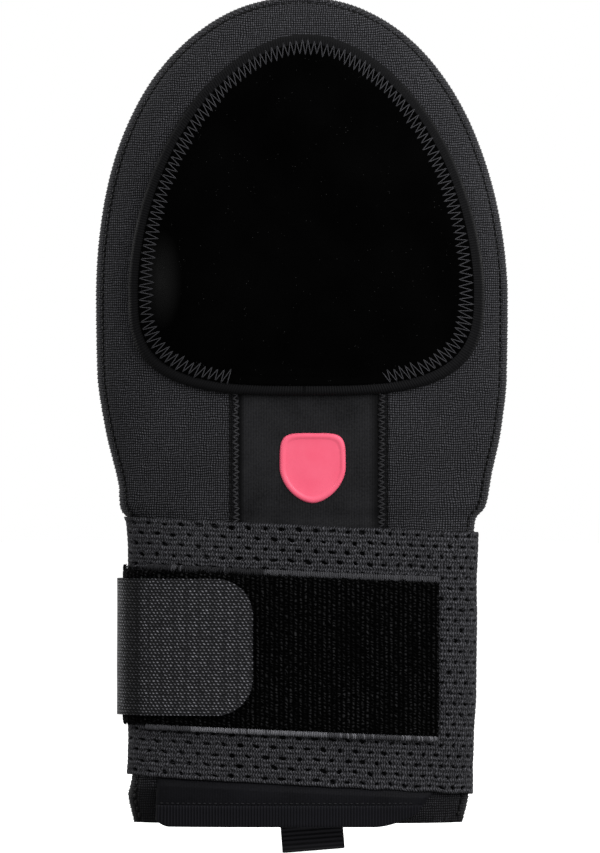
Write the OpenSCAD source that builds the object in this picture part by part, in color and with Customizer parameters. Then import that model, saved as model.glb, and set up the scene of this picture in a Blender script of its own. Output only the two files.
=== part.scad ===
// Sliding mitt: a paddle-shaped hand and wrist guard, fingertips up (+Z), palm side facing -Y.
// The origin is the centre of the wrist opening, on the plane of the side seam.

/* [Body] */
// Half width of the body at its widest, across the palm
palm_half_w = 71.4; // [68:0.2:76]
// Half width of the body where the strap grips the wrist
wrist_half_w = 58.6; // [55:0.2:60]
// Half width of the cuff at the hem
cuff_half_w = 56.6; // [54:0.2:59]
// Height of the widest point above the hem
dome_z = 185; // [180:1:190]
// Height of the rounded fingertip end above the widest point
dome_h = 105.7; // [100:0.5:110]
// Depth of the palm side and of the back, from the side seam
front_depth = 23; // [21:0.5:26]
back_depth = 21; // [20:0.5:24]
// Depth of both sides at the wrist
wrist_depth = 18; // [17.5:0.1:19]

/* [Palm pad] */
// Half width of the pad
pad_half_w = 62; // [58:0.5:63]
// Offset of the pad and its height above the hem at the widest point
pad_x = 1.8; // [0:0.1:3]
pad_z = 188; // [185:1:190]
// Reach of the pad above and below its widest point
pad_up = 89.5; // [86:0.5:92]
pad_down = 36.8; // [34:0.5:38]

/* [Wrist strap] */
// Height of the elastic strap
strap_h = 90; // [84:1:92]
// Height of the strap's middle above the hem, at the centre of the mitt
strap_mid_z = 61.2; // [60:0.1:62]
// Slant of the strap, in degrees
strap_slant = 2.6; // [0:0.1:3]
// Thickness of the elastic strap
strap_t = 1.8; // [1.5:0.1:2]
// Height of the hook tape and of its middle above the hem
hook_h = 47.6; // [44:0.2:52]
hook_mid_z = 63.6; // [60:0.1:64]
// Height of the loop patch
patch_h = 53.6; // [52:0.2:58]

/* [Pull loop] */
// Width of the webbing, and how far the loop hangs below the hem
webbing_w = 22; // [15:1:25]
loop_drop = 9; // [6:0.1:20]

/* [Hidden] */

FRONT = -1;
BACK = 1;
WHOLE = 1000;      // a limit that no panel reaches
gap = 0.3;         // between layers that lie on each other
seam_y = 1.5;      // half the gap between the two sides, where the seam piping lies
dome_n = 2.15;     // roundness of the fingertip end
tip_depth = 3.5;   // depth of each side at the very tip

// Stations up the body: height, half width, front depth, back depth, flatness, fullness of the edge
W = 1;
DEPTH_FRONT = 2;
DEPTH_BACK = 3;
FLAT = 4;
EDGE = 5;
stations = [
    [-5, cuff_half_w - 0.4, wrist_depth - 1.2, wrist_depth - 1.2, 2.6, 0.42],
    [2, cuff_half_w, wrist_depth - 1, wrist_depth - 1, 2.6, 0.42],
    [12, wrist_half_w, wrist_depth, wrist_depth, 2.6, 0.42],
    [108, wrist_half_w, wrist_depth, wrist_depth, 2.6, 0.42],
    [113, wrist_half_w + 3.2, wrist_depth + 1, wrist_depth + 0.6, 2.7, 0.46],
    [124, palm_half_w - 7.1, wrist_depth + 2, wrist_depth + 1.4, 2.8, 0.52],
    [140, palm_half_w - 3.2, front_depth - 1.6, back_depth - 1.2, 3, 0.6],
    [160, palm_half_w - 0.4, front_depth - 0.4, back_depth - 0.3, 3.1, 0.66],
    [dome_z, palm_half_w, front_depth, back_depth, 3.2, 0.7]
];

// Layers of the body: how deep each starts and ends under the outer surface
cover = [0, 1.8];
foam_in = 7.5;
wrist_foam_in = 4.1;
plate_t = 1.6;
lining_t = 1.2;
pad_base = [-1.2, -gap];
stitch_t = 0.4;

// Layers of the strap, outside the cover
strap_layer = [-gap - strap_t, -gap];
patch_layer = [strap_layer[0] - 1.9, strap_layer[0] - 0.1];
hook_layer = [patch_layer[0] - 1.8, patch_layer[0] - 0.7];

// Where the strap's pieces start and end round the wrist
flap_hinge_x = -4;
tab_hinge_x = -50;
strap_end_x = -57;
patch_wrap_x = -60.5;
hinge_gap = 0.5;
patch_end_x = 46.8;
hook_end_x = -15.6;
hook_corner = 12.5;

// The gusset's slot in the front cover, and the tongue below it
slot = [-21.4, 27.2];
slot_top = 160;
tongue_x = [-50, 37];

// ---- curves ----

function mix(a, b, f) = a + (b - a) * f;
function clamp(v, lo, hi) = max(lo, min(hi, v));

// Smooth curve through the stations, with no overshoot
function rise(i, c) = (stations[i + 1][c] - stations[i][c]) / (stations[i + 1][0] - stations[i][0]);
function slope(i, c) =
    i == 0 || i == len(stations) - 1 ? 0 :
    let (a = rise(i - 1, c), b = rise(i, c)) a * b <= 0 ? 0 : 2 * a * b / (a + b);
function station_below(z) = max([for (i = [0:len(stations) - 2]) if (i == 0 || stations[i][0] <= z) i]);
function station(z, c) =
    let (i = station_below(z),
         h = stations[i + 1][0] - stations[i][0],
         f = clamp((z - stations[i][0]) / h, 0, 1))
    (1 + 2 * f) * (1 - f) ^ 2 * stations[i][c] + f * (1 - f) ^ 2 * h * slope(i, c)
    + f ^ 2 * (3 - 2 * f) * stations[i + 1][c] - f ^ 2 * (1 - f) * h * slope(i + 1, c);

// Share of the way up the rounded end
function up(z) = clamp((z - dome_z) / dome_h, 0, 1);
// Half width of the body at height z, t under its surface
function body_w(z, t = 0) =
    z <= dome_z ? station(z, W) - t : (palm_half_w - t) * (1 - up(z) ^ dome_n) ^ (1 / dome_n);
function side_depth(z, side) =
    let (c = side == FRONT ? DEPTH_FRONT : DEPTH_BACK)
    z <= dome_z ? station(z, c) : mix(tip_depth, stations[len(stations) - 1][c], (1 - up(z) ^ 2.4) ^ 0.55);
// Height of a layer's row, which the rounded end draws in by t
function lift(z, t) = z <= dome_z ? z : dome_z + (z - dome_z) * (dome_h - t) / dome_h;
// Distance from the seam plane of the surface t under the body's own
function body_y(x, z, t, side) =
    let (w = body_w(z, t), u = clamp(abs(x) / w, 0, 1),
         d = side_depth(z, side) - t - seam_y)
    side * (seam_y + d * (1 - u ^ station(z, FLAT)) ^ station(z, EDGE));
function body_point(x, z, t, side) = [x, body_y(x, z, t, side), lift(z, t)];

// ---- grids of points, and the solid between two of them ----

// One row across a panel from x = lim[0] to lim[1], closer together near its edges
function row(z, t, side, lim, cols) =
    let (w = body_w(z, t), a = max(-w, lim[0]), b = min(w, lim[1]))
    [for (i = [0:cols])
        let (f = (1 - cos(180 * i / cols)) / 2)
        body_point(side == FRONT ? mix(a, b, f) : mix(b, a, f), z, t, side)];

module skin(outer, inner, on = function(j, i) true, wrap = false) {
    rows = len(outer);
    cols = len(outer[0]);
    function id(s, j, i) = (s * rows + j % rows) * cols + i;
    function there(j, i) = i >= 0 && i < cols - 1 && (wrap || (j >= 0 && j < rows - 1)) && on(j, i);
    function quad(a, b, c, d) = [[a, b, c], [a, c, d]];
    polyhedron(
        [for (grid = [outer, inner], line = grid, p = line) p],
        [for (j = [0:rows - (wrap ? 1 : 2)], i = [0:cols - 2]) if (there(j, i))
            let (a = id(0, j, i), b = id(0, j, i + 1), c = id(0, j + 1, i + 1), d = id(0, j + 1, i),
                 e = id(1, j, i), f = id(1, j, i + 1), g = id(1, j + 1, i + 1), h = id(1, j + 1, i))
            each concat(quad(a, d, c, b), quad(e, f, g, h),
                        there(j, i - 1) ? [] : quad(e, h, d, a),
                        there(j, i + 1) ? [] : quad(b, c, g, f),
                        there(j - 1, i) ? [] : quad(b, f, e, a),
                        there(j + 1, i) ? [] : quad(d, h, g, c))],
        convexity = 6);
}

// Rows of a shell that runs from the hem to z_top
lower_rows = [12, 60, 108, 110.5, 113, 118, 128, 140, 160, dome_z];
upper_rows = [for (a = [12, 24, 36, 48, 59, 68, 75, 81, 86, 89]) dome_z + dome_h * sin(a)];
function shell_rows(z_low, z_top) =
    concat([z_low], [for (z = concat(lower_rows, upper_rows)) if (z > z_low + 1 && z < z_top - 1) z], [z_top]);

// A layer of one side of the body, from depth t[0] to t[1]; wrist_t, if given, is its depth at the wrist
module layer(side, z_low, z_top, t, wrist_t = undef, cols = 16) {
    zs = shell_rows(z_low, z_top);
    function at(z, k) = is_undef(wrist_t) ? t[k] : mix(wrist_t[k], t[k], clamp((z - 108) / 40, 0, 1));
    full = [-WHOLE, WHOLE];
    skin([for (z = zs) row(z, at(z, 0), side, full, cols)], [for (z = zs) row(z, at(z, 1), side, full, cols)]);
}

// A panel on one side, with its own limits in x at each height
module panel(side, zs, t, lim, cols = 12) {
    skin([for (z = zs) row(z, t[0], side, lim(z), cols)], [for (z = zs) row(z, t[1], side, lim(z), cols)]);
}

function spaced(a, b, n) = [for (i = [0:n]) mix(a, b, i / n)];
// Heights closer together at both ends, for rounded outlines
function eased(a, b, n) = [for (i = [0:n]) mix(a, b, (1 - cos(180 * i / n)) / 2)];

// ---- the body's own layers ----

tip_z = dome_z + dome_h * sin(89);
hem_z = 2;

// Front cover: one panel shaped like a horseshoe, open at the gusset's slot
module front_cover() {
    zs = shell_rows(hem_z, tip_z);
    side_cols = 6;
    slot_cols = 4;
    // Columns: left side, slot, right side; above the slot its edges close in with the body
    function cut(z, k) = sign(slot[k]) * min(abs(slot[k]), 0.49 * body_w(z));
    function xs(z, t) = let (w = body_w(z, t), l = cut(z, 0), r = cut(z, 1)) concat(
        [for (i = [0:side_cols - 1]) mix(-w, l, 1 - cos(90 * i / side_cols))],
        [for (i = [0:slot_cols - 1]) mix(l, r, i / slot_cols)],
        [for (i = [0:side_cols]) mix(r, w, sin(90 * i / side_cols))]);
    function grid(t) = [for (z = zs) [for (x = xs(z, t)) body_point(x, z, t, FRONT)]];
    slot_row = len([for (z = zs) if (z < slot_top + 1) z]) - 1;
    color("#2b2b2e")
        skin(grid(cover[0]), grid(cover[1]),
             function(j, i) j >= slot_row || i < side_cols || i >= side_cols + slot_cols);
}
module back_cover() { color("#2b2b2e") layer(BACK, hem_z, tip_z, cover); }

// Foam, plates and linings stop short of the tip, where the cover closes in
foam_t = [cover[1] + gap, foam_in];
foam_wrist_t = [cover[1] + gap, wrist_foam_in];
plate_layer = [foam_in + gap, foam_in + gap + plate_t];
plate_wrist_layer = [wrist_foam_in + gap, wrist_foam_in + gap + plate_t];
lining_layer = [plate_layer[1] + gap, plate_layer[1] + gap + lining_t];
lining_wrist_layer = [plate_wrist_layer[1] + gap, plate_wrist_layer[1] + gap + lining_t];
foam_top = 280;
plate_top = 268;
lining_top = 262;
module foam(side) { color("#8f8f88") layer(side, hem_z + 6, foam_top, foam_t, foam_wrist_t, 12); }
module plate(side) { color("#d8dadc") layer(side, hem_z + 14, plate_top, plate_layer, plate_wrist_layer, 12); }
module lining(side) { color("#1c1c1f") layer(side, hem_z, lining_top, lining_layer, lining_wrist_layer, 12); }

// Thick foam across the fingertips, between the two linings
module tip_bumper() {
    inset = 13;
    low_z = 266;
    zs = eased(low_z, dome_z + dome_h - inset, 10);
    function half(z) = (palm_half_w - inset) * max(0, 1 - ((z - dome_z) / (dome_h - inset)) ^ dome_n) ^ (1 / dome_n);
    color("#8f8f88") rotate([90, 0, 0]) linear_extrude(6, center = true)
        polygon(concat([for (z = zs) [half(z), z]], [for (i = [10 - 1:-1:0]) [-half(zs[i]), zs[i]]]));
}

// Outline of the body as seen from the front, t inside its edge, from the left hem round to the right
outline_rows = concat([hem_z, 7], lower_rows, [for (z = upper_rows) z], [dome_z + dome_h]);
function outline(t) = concat(
    [for (z = outline_rows) [-body_w(z, t), lift(z, t)]],
    [for (i = [len(outline_rows) - 2:-1:0]) [body_w(outline_rows[i], t), lift(outline_rows[i], t)]]);
module outline_band(t_out, t_in, thick) {
    rotate([90, 0, 0]) linear_extrude(thick, center = true) polygon(concat(outline(t_out), reverse(outline(t_in))));
}
function reverse(v) = [for (i = [len(v) - 1:-1:0]) v[i]];

// Rolled edge that joins the two covers
module seam_piping() { color("#232326") outline_band(-0.2, 2.4, 2 * seam_y - 0.6); }
// Lock stitching through the seam allowance, inside the piping
module seam_stitching() { color("#0c0c0d") outline_band(2.6, 3.2, 2 * seam_y - 0.6); }

// ---- gusset, badge ----

module gusset_panel() {
    color("#1c1c1e")
        panel(FRONT, concat([hem_z], spaced(12, slot_top - 3, 9)), [0.1, 1.6],
              function(z) [slot[0] + gap, slot[1] - gap], 8);
}

// Zigzag seams along both edges of the gusset, between the strap and the palm pad
module gusset_stitching() {
    for (x = slot)
        color("#5b5b60") panel(FRONT, spaced(110, 149, 5), [-stitch_t - 0.35, -0.35], function(z) [x - 1.5, x + 1.5], 2);
}

// Rubber badge: a plain shield
badge_x = 4.2;
badge_z = 126;
badge_half = 12.2;
module badge() {
    function half(z) = let (f = clamp((badge_z + 2 - z) / (badge_half + 2), 0, 1)) max(0.4, 11.5 * (1 - f ^ 2.2) ^ 0.75);
    color("#ff6b86")
        panel(FRONT, concat(eased(badge_z - badge_half, badge_z + 2, 8), [badge_z + badge_half]),
              [-0.7, -0.1], function(z) [badge_x - half(z), badge_x + half(z)], 6);
}

// ---- palm pad ----

pad_n_up = 1.85;
pad_n_down = 3.2;
// Half width of the pad's outline at height z, drawn in by inset
function pad_half(z, inset) =
    z >= pad_z ? (pad_half_w - inset) * max(0, 1 - ((z - pad_z) / (pad_up - inset)) ^ pad_n_up) ^ (1 / pad_n_up)
               : (pad_half_w - inset) * max(0, 1 - ((pad_z - z) / (pad_down - inset)) ^ pad_n_down) ^ (1 / pad_n_down);
// How full the pad is at a point: 1 in the middle, 0 at the edge of the inset outline
function pad_full(x, z, inset) =
    let (up_side = z >= pad_z, reach = (up_side ? pad_up : pad_down) - inset, n = up_side ? 2 : pad_n_down,
         r = (abs(x - pad_x) / (pad_half_w - inset)) ^ n + (abs(z - pad_z) / reach) ^ n)
    max(0, 1 - r) ^ 0.6;
pad_crown = 3;
pad_inset = 4;     // the pad's panels start this far inside its binding
function pad_point(x, z, t, inset) = body_point(x, z, t - pad_crown * pad_full(x, z, inset), FRONT);
function pad_rows(inset) = concat(
    [for (a = [-84, -66, -48, -30, -15]) pad_z + (pad_down - inset) * sin(a)],
    [for (a = [0, 15, 30, 44, 57, 68, 77, 84]) pad_z + (pad_up - inset) * sin(a)]);
function pad_grid(t, inset, crowned) = [for (z = pad_rows(inset)) let (h = pad_half(z, inset))
    [for (i = [0:12]) let (x = pad_x - h * cos(180 * i / 12))
        crowned ? pad_point(x, z, t, inset) : body_point(x, z, t, FRONT)]];

module palm_pad_base() { color("#17171a") skin(pad_grid(pad_base[0], pad_inset, false), pad_grid(pad_base[1], pad_inset, false)); }
module palm_pad_foam() { color("#8f8f88") skin(pad_grid(-2, 9, true), pad_grid(-1.4, 9, false)); }
module palm_pad_cover() { color("#070708") skin(pad_grid(-3.4, pad_inset, true), pad_grid(-2.3, pad_inset, true)); }

// Point on the pad's outline, inset, at angle a round it (0 = right, 90 = top)
function round_pad(a, inset) =
    let (n = sin(a) >= 0 ? pad_n_up : pad_n_down, reach = (sin(a) >= 0 ? pad_up : pad_down) - inset)
    [pad_x + (pad_half_w - inset) * sign(cos(a)) * abs(cos(a)) ^ (2 / n), pad_z + reach * sign(sin(a)) * abs(sin(a)) ^ (2 / n)];
function pad_strip(angles, insets, t, crowned = false) = [for (a = angles) [for (inset = insets)
    let (p = round_pad(a, inset))
    crowned ? pad_point(p[0], p[1], t, pad_inset) : body_point(p[0], p[1], t, FRONT)]];

module palm_pad_binding() {
    angles = [for (i = [0:47]) -i * 7.5];
    color("#232327")
        skin(pad_strip(angles, [0, 3.6], -2.6), pad_strip(angles, [0, 3.6], -gap), wrap = true);
}
module palm_pad_stitching() {
    // The strip is open where the bottom edge of the pad isn't sewn down
    angles = [for (i = [0:42]) 253 - i * (253 + 72) / 42];
    insets = [4.2, 6.4, 8.8];
    color("#6a6a70")
        skin(pad_strip(angles, insets, -3.7 - stitch_t, true), pad_strip(angles, insets, -3.7, true));
}

// ---- strap ----

// Points round the wrist at depth t, from x = a to b over the front, or from b to a over the back
function arc_points(t, side, a, b, n = 36) =
    let (w = wrist_half_w - t, u0 = asin(clamp(a / w, -1, 1)), u1 = asin(clamp(b / w, -1, 1)))
    [for (i = [0:n]) let (x = w * sin(mix(u0, u1, i / n))) [x, body_y(x, strap_mid_z, t, side)]];
// A strip round the wrist, one layer thick
module wrist_strip(t, path) {
    linear_extrude(WHOLE, center = true) polygon(concat(path(t[0]), reverse(path(t[1]))));
}
// What lies between two slanted planes, h apart, round the strap's middle
module slanted_slab(h, mid_z = strap_mid_z) {
    translate([0, 0, mid_z]) rotate([0, strap_slant, 0]) cube([400, 400, h], center = true);
}

// From the back's left edge over the front and round the right side to the middle of the back
function strap_path(t) = concat(
    reverse(arc_points(t, BACK, -WHOLE, strap_end_x, 6)), arc_points(t, FRONT, -WHOLE, WHOLE),
    reverse(arc_points(t, BACK, flap_hinge_x + hinge_gap, WHOLE, 24)));
module wrist_strap() {
    color("#2e2e31") intersection() {
        wrist_strip(strap_layer, function(t) strap_path(t));
        slanted_slab(strap_h);
    }
}

function patch_path(t) = concat(
    reverse(arc_points(t, BACK, -WHOLE, patch_wrap_x, 4)), arc_points(t, FRONT, -WHOLE, patch_end_x));
module loop_patch() {
    color("#0a0a0b") intersection() {
        wrist_strip(patch_layer, function(t) patch_path(t));
        slanted_slab(patch_h);
    }
}
// Raised whip stitching along the top and bottom edges of the loop patch
module loop_patch_stitching() {
    for (s = [-1, 1])
        color("#55555a") intersection() {
            wrist_strip([strap_layer[0] - 1, strap_layer[0] - 0.1], function(t) arc_points(t, FRONT, -52, patch_end_x));
            translate([0, 0, s * (patch_h / 2 + 1.5)]) slanted_slab(2.4);
        }
}
// Box of stitches that holds the strap to the back of the mitt
module strap_anchor_stitching() {
    for (x = [3, 23])
        color("#5b5b60") intersection() {
            wrist_strip([strap_layer[0] - 0.1 - stitch_t, strap_layer[0] - 0.1],
                        function(t) reverse(arc_points(t, BACK, x, x + 1.5, 2)));
            slanted_slab(70);
        }
}

// Free length of the strap, tapered from the strap's height to the hook tape's
module flap_outline(x_from, x_to) {
    rotate([90, 0, 0]) linear_extrude(100, center = true) polygon([
        [x_from, strap_mid_z - strap_h / 2 - x_from * tan(strap_slant)],
        [x_from, strap_mid_z + strap_h / 2 - x_from * tan(strap_slant)],
        [x_to - 4, hook_mid_z + hook_h / 2 + 4], [x_to - 4, hook_mid_z - hook_h / 2 - 4]]);
}
function flap_path(t) = reverse(arc_points(t, BACK, tab_hinge_x + hinge_gap / 2, flap_hinge_x, 24));
module strap_flap() {
    color("#2e2e31") intersection() {
        wrist_strip(strap_layer, function(t) flap_path(t));
        flap_outline(flap_hinge_x, tab_hinge_x);
    }
}

module hook_slab(h = hook_h) { translate([0, 0, hook_mid_z]) cube([400, 400, h], center = true); }
root_layer = [strap_layer[0] - 1.2, strap_layer[0] - 0.1];
module hook_tab_root() {
    color("#3a3a3d") intersection() {
        wrist_strip(root_layer, function(t) reverse(arc_points(t, BACK, tab_hinge_x + hinge_gap / 2, tab_hinge_x + 9, 8)));
        hook_slab();
    }
}
module hook_tab_stitching() {
    for (x = [tab_hinge_x + 2, tab_hinge_x + 7])
        color("#5b5b60") intersection() {
            wrist_strip([root_layer[0] - 0.1 - stitch_t, root_layer[0] - 0.1],
                        function(t) reverse(arc_points(t, BACK, x, x + 1, 2)));
            hook_slab(hook_h - 6);
        }
}

// Rounded free end of the hook tape, seen from the front
module tab_outline(inset = 0) {
    straight = hook_h / 2 - hook_corner;
    end_x = hook_end_x - hook_corner;
    rotate([90, 0, 0]) linear_extrude(100, center = true) translate([0, hook_mid_z]) {
        for (z = [-straight, straight]) translate([end_x, z]) circle(hook_corner - inset, $fn = 64);
        translate([-90, inset - hook_h / 2]) square([end_x + 90, hook_h - 2 * inset]);
        translate([-90, -straight]) square([hook_end_x - inset + 90, 2 * straight]);
    }
}
// From the hinge, where it lies against the flap, round the left side and over the front
function tab_back(k) =
    let (n = 12, end = asin((tab_hinge_x - hinge_gap / 2) / (wrist_half_w - root_layer[k])))
    [for (i = [n:-1:0])
        let (t = mix(hook_layer[k], root_layer[k], (i / n) ^ 3),
             x = (wrist_half_w - t) * sin(mix(-90, end, i / n)))
        [x, body_y(x, strap_mid_z, t, BACK)]];
function tab_path(k) = concat(tab_back(k), arc_points(hook_layer[k], FRONT, -WHOLE, hook_end_x, 24));
module hook_tab() {
    color("#3a3a3d") intersection() {
        linear_extrude(WHOLE, center = true) polygon(concat(tab_path(0), reverse(tab_path(1))));
        tab_outline();
    }
}
// Field of hooks on the inner face of the tape
module hook_field() {
    t = [hook_layer[1] + 0.02, hook_layer[1] + 0.3];
    color("#141415") intersection() {
        wrist_strip(t, function(t) arc_points(t, FRONT, -44, hook_end_x));
        tab_outline(2);
    }
}

// ---- cuff ----

// Height of the strap's lower edge at x
function strap_low(x) = strap_mid_z - strap_h / 2 / cos(strap_slant) - x * tan(strap_slant);
tongue_layer = [-2.3, -gap];
tongue_low = 1.2;
edging_z = 8.6;
// A band of the tongue; its right end leans out towards the strap, and its lower right corner is cut away
module tongue_band(t, low, high) {
    zs = spaced(0, 1, 3);
    function line(f, t) = [for (i = [0:14]) let (
            across = mix(tongue_x[0], tongue_x[1], i / 14),
            corner = low <= tongue_low ? max(0, (i - 11) / 3) ^ 2 * 5 : 0,
            x = across + 0.7 * mix(low, high(across), f) * (i / 14) ^ 2,
            z = mix(low + corner, high(x), f))
        body_point(x, z, t, FRONT)];
    skin([for (f = zs) line(f, t[0])], [for (f = zs) line(f, t[1])]);
}
module cuff_tongue() { color("#1a1a1e") tongue_band(tongue_layer, tongue_low, function(x) strap_low(x) - hinge_gap); }
// Ribbed elastic edging, folded over the end of the tongue
module tongue_edging() { color("#202024") tongue_band([-3.1, -2.4], tongue_low, function(x) edging_z); }
module tongue_stitching() {
    color("#4a4a50") tongue_band([-3.1, -2.4], edging_z + 0.3, function(x) edging_z + 0.9);
}

// Finger loop of webbing on the back of the cuff
pull_x = 3;
pull_tilt = 4.6;
webbing_t = 1.2;
loop_gap = 5.2;
pull_hinge_z = 11;
pull_y = wrist_depth + 0.5;
module pull_frame() { translate([pull_x, pull_y, pull_hinge_z]) rotate([0, -pull_tilt, 0]) children(); }
module pull_loop() {
    r = loop_gap / 2 + webbing_t;
    low = -(pull_hinge_z + loop_drop) + r;
    color("#1b1b1e") pull_frame() rotate([90, 0, 90]) linear_extrude(webbing_w, center = true)
        difference() {
            union() {
                translate([r, low]) circle(r, $fn = 48);
                translate([0, low]) square([2 * r, -low - 4]);
                polygon([[0, -4], [2 * r, -4], [2 * webbing_t, -0.4], [0, -0.4]]);
            }
            translate([r, low]) circle(loop_gap / 2, $fn = 48);
            translate([webbing_t, low]) square([loop_gap, -low - 4.6]);
        }
}
module pull_loop_bartack() {
    color("#5b5b60") pull_frame() translate([0, webbing_t, 1.2]) cube([webbing_w - 4, 2 * webbing_t, 1.6], center = true);
}

// ---- the nodes ----

front_cover();
back_cover();
gusset_panel();
gusset_stitching();
seam_piping();
seam_stitching();
foam(FRONT);  // front_foam
foam(BACK);  // back_foam
plate(FRONT);  // front_plate
plate(BACK);  // back_plate
lining(FRONT);  // front_lining
lining(BACK);  // back_lining
tip_bumper();
palm_pad_base();
palm_pad_foam();
palm_pad_cover();
palm_pad_binding();
palm_pad_stitching();
badge();
wrist_strap();
loop_patch();
loop_patch_stitching();
strap_anchor_stitching();
pull_loop_bartack();
strap_flap();
hook_tab_root();
hook_tab_stitching();
hook_tab();
hook_field();
cuff_tongue();
tongue_edging();
tongue_stitching();
pull_loop();
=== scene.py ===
import math
import random

import bmesh
import bpy
import numpy as np
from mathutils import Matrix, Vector, noise
from mathutils.bvhtree import BVHTree


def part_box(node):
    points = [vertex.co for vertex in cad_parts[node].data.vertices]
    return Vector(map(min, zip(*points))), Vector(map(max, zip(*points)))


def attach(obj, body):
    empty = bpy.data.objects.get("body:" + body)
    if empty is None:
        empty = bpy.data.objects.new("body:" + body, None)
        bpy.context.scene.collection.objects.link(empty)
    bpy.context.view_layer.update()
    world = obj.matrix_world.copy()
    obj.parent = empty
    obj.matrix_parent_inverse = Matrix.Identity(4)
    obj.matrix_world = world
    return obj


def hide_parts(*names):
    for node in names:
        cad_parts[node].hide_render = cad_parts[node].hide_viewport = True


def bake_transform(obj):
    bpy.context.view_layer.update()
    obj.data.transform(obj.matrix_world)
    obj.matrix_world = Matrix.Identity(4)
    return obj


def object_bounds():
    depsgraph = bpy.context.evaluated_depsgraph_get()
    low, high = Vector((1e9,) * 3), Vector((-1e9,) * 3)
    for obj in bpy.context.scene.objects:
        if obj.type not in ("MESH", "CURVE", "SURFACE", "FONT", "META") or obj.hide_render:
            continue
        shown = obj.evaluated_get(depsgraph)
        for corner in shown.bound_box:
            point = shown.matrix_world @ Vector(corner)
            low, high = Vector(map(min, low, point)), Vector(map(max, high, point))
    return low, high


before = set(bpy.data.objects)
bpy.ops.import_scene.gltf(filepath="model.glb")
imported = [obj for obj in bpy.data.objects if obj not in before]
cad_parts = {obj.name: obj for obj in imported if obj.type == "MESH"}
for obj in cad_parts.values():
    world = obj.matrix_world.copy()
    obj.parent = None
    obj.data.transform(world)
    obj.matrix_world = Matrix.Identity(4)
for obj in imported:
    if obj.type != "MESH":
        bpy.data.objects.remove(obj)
cad_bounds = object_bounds()
MM = 0.001
rng = random.Random(7)

# ------------------------------------------------------------------ the body's surface, in mm, as in the CAD

FRONT, BACK = -1, 1
PALM_W, WRIST_W, CUFF_W = 71.4, 58.6, 56.6
FRONT_D, BACK_D, WRIST_D = 23.0, 21.0, 18.0
DOME_Z, DOME_H, DOME_N = 185.0, 105.7, 2.15
SEAM_Y, TIP_DEPTH = 1.5, 3.5
HEM_Z = 2.0
# height, half width, front depth, back depth, flatness, fullness of the edge
STATIONS = np.array([
    (-5, CUFF_W - 0.4, WRIST_D - 1.2, WRIST_D - 1.2, 2.6, 0.42),
    (2, CUFF_W, WRIST_D - 1, WRIST_D - 1, 2.6, 0.42),
    (12, WRIST_W, WRIST_D, WRIST_D, 2.6, 0.42),
    (108, WRIST_W, WRIST_D, WRIST_D, 2.6, 0.42),
    (113, WRIST_W + 3.2, WRIST_D + 1, WRIST_D + 0.6, 2.7, 0.46),
    (124, PALM_W - 7.1, WRIST_D + 2, WRIST_D + 1.4, 2.8, 0.52),
    (140, PALM_W - 3.2, FRONT_D - 1.6, BACK_D - 1.2, 3, 0.6),
    (160, PALM_W - 0.4, FRONT_D - 0.4, BACK_D - 0.3, 3.1, 0.66),
    (DOME_Z, PALM_W, FRONT_D, BACK_D, 3.2, 0.7),
])
rise = np.diff(STATIONS[:, 1:], axis=0) / np.diff(STATIONS[:, 0])[:, None]
slope = np.zeros_like(STATIONS[:, 1:])
with np.errstate(divide="ignore", invalid="ignore"):
    inner_slope = np.where(rise[:-1] * rise[1:] > 0, 2 * rise[:-1] * rise[1:] / (rise[:-1] + rise[1:]), 0)
slope[1:-1] = inner_slope


def station(z, column):
    """Smooth curve through the stations, with no overshoot."""
    z = np.clip(np.asarray(z, float), STATIONS[0, 0], STATIONS[-1, 0])
    i = np.clip(np.searchsorted(STATIONS[:, 0], z, side="right") - 1, 0, len(STATIONS) - 2)
    h = STATIONS[i + 1, 0] - STATIONS[i, 0]
    f = (z - STATIONS[i, 0]) / h
    a, b = STATIONS[i, column], STATIONS[i + 1, column]
    ma, mb = slope[i, column - 1] * h, slope[i + 1, column - 1] * h
    return ((1 + 2 * f) * (1 - f) ** 2 * a + f * (1 - f) ** 2 * ma
            + f ** 2 * (3 - 2 * f) * b - f ** 2 * (1 - f) * mb)


def up(z):
    return np.clip((np.asarray(z, float) - DOME_Z) / DOME_H, 0, 1)


def body_w(z, t=0.0):
    return np.where(z <= DOME_Z, station(z, 1) - t, (PALM_W - t) * (1 - up(z) ** DOME_N) ** (1 / DOME_N))


def side_depth(z, side):
    full = FRONT_D if side == FRONT else BACK_D
    low = station(z, 2 if side == FRONT else 3)
    return np.where(z <= DOME_Z, low, TIP_DEPTH + (full - TIP_DEPTH) * (1 - up(z) ** 2.4) ** 0.55)


def lift(z, t):
    return np.where(z <= DOME_Z, z, DOME_Z + (z - DOME_Z) * (DOME_H - t) / DOME_H)


def body_y(x, z, t, side):
    u = np.clip(np.abs(x) / np.maximum(body_w(z, t), 1e-6), 0, 1)
    d = side_depth(z, side) - t - SEAM_Y
    return side * (SEAM_Y + d * (1 - u ** station(z, 4)) ** station(z, 5))


# ------------------------------------------------------------------ meshes

# how far the soft outline bulges past the plain one on each side, by height
BULGE_RIGHT = np.array([(25, 0), (45, 0.9), (60, 1.2), (90, 1.3), (100, 1.6), (106, 2.1),
                        (112, 2.9), (125, 2.4), (137, 2.0), (146, 1.6), (160, 1.0), (190, 0.9), (215, 0.1),
                        (235, -0.5), (262, -0.9), (285, -0.9), (291, -0.3)])
BULGE_LEFT = np.array([(4, 1.6), (12, 1.6), (17, 0.3), (28, 0), (100, 0), (107, 0.6), (110, 2.0),
                       (114, 1.0), (119, 0), (210, 0), (235, 0.3), (262, 0.3), (280, -0.3), (291, 0)])


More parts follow.
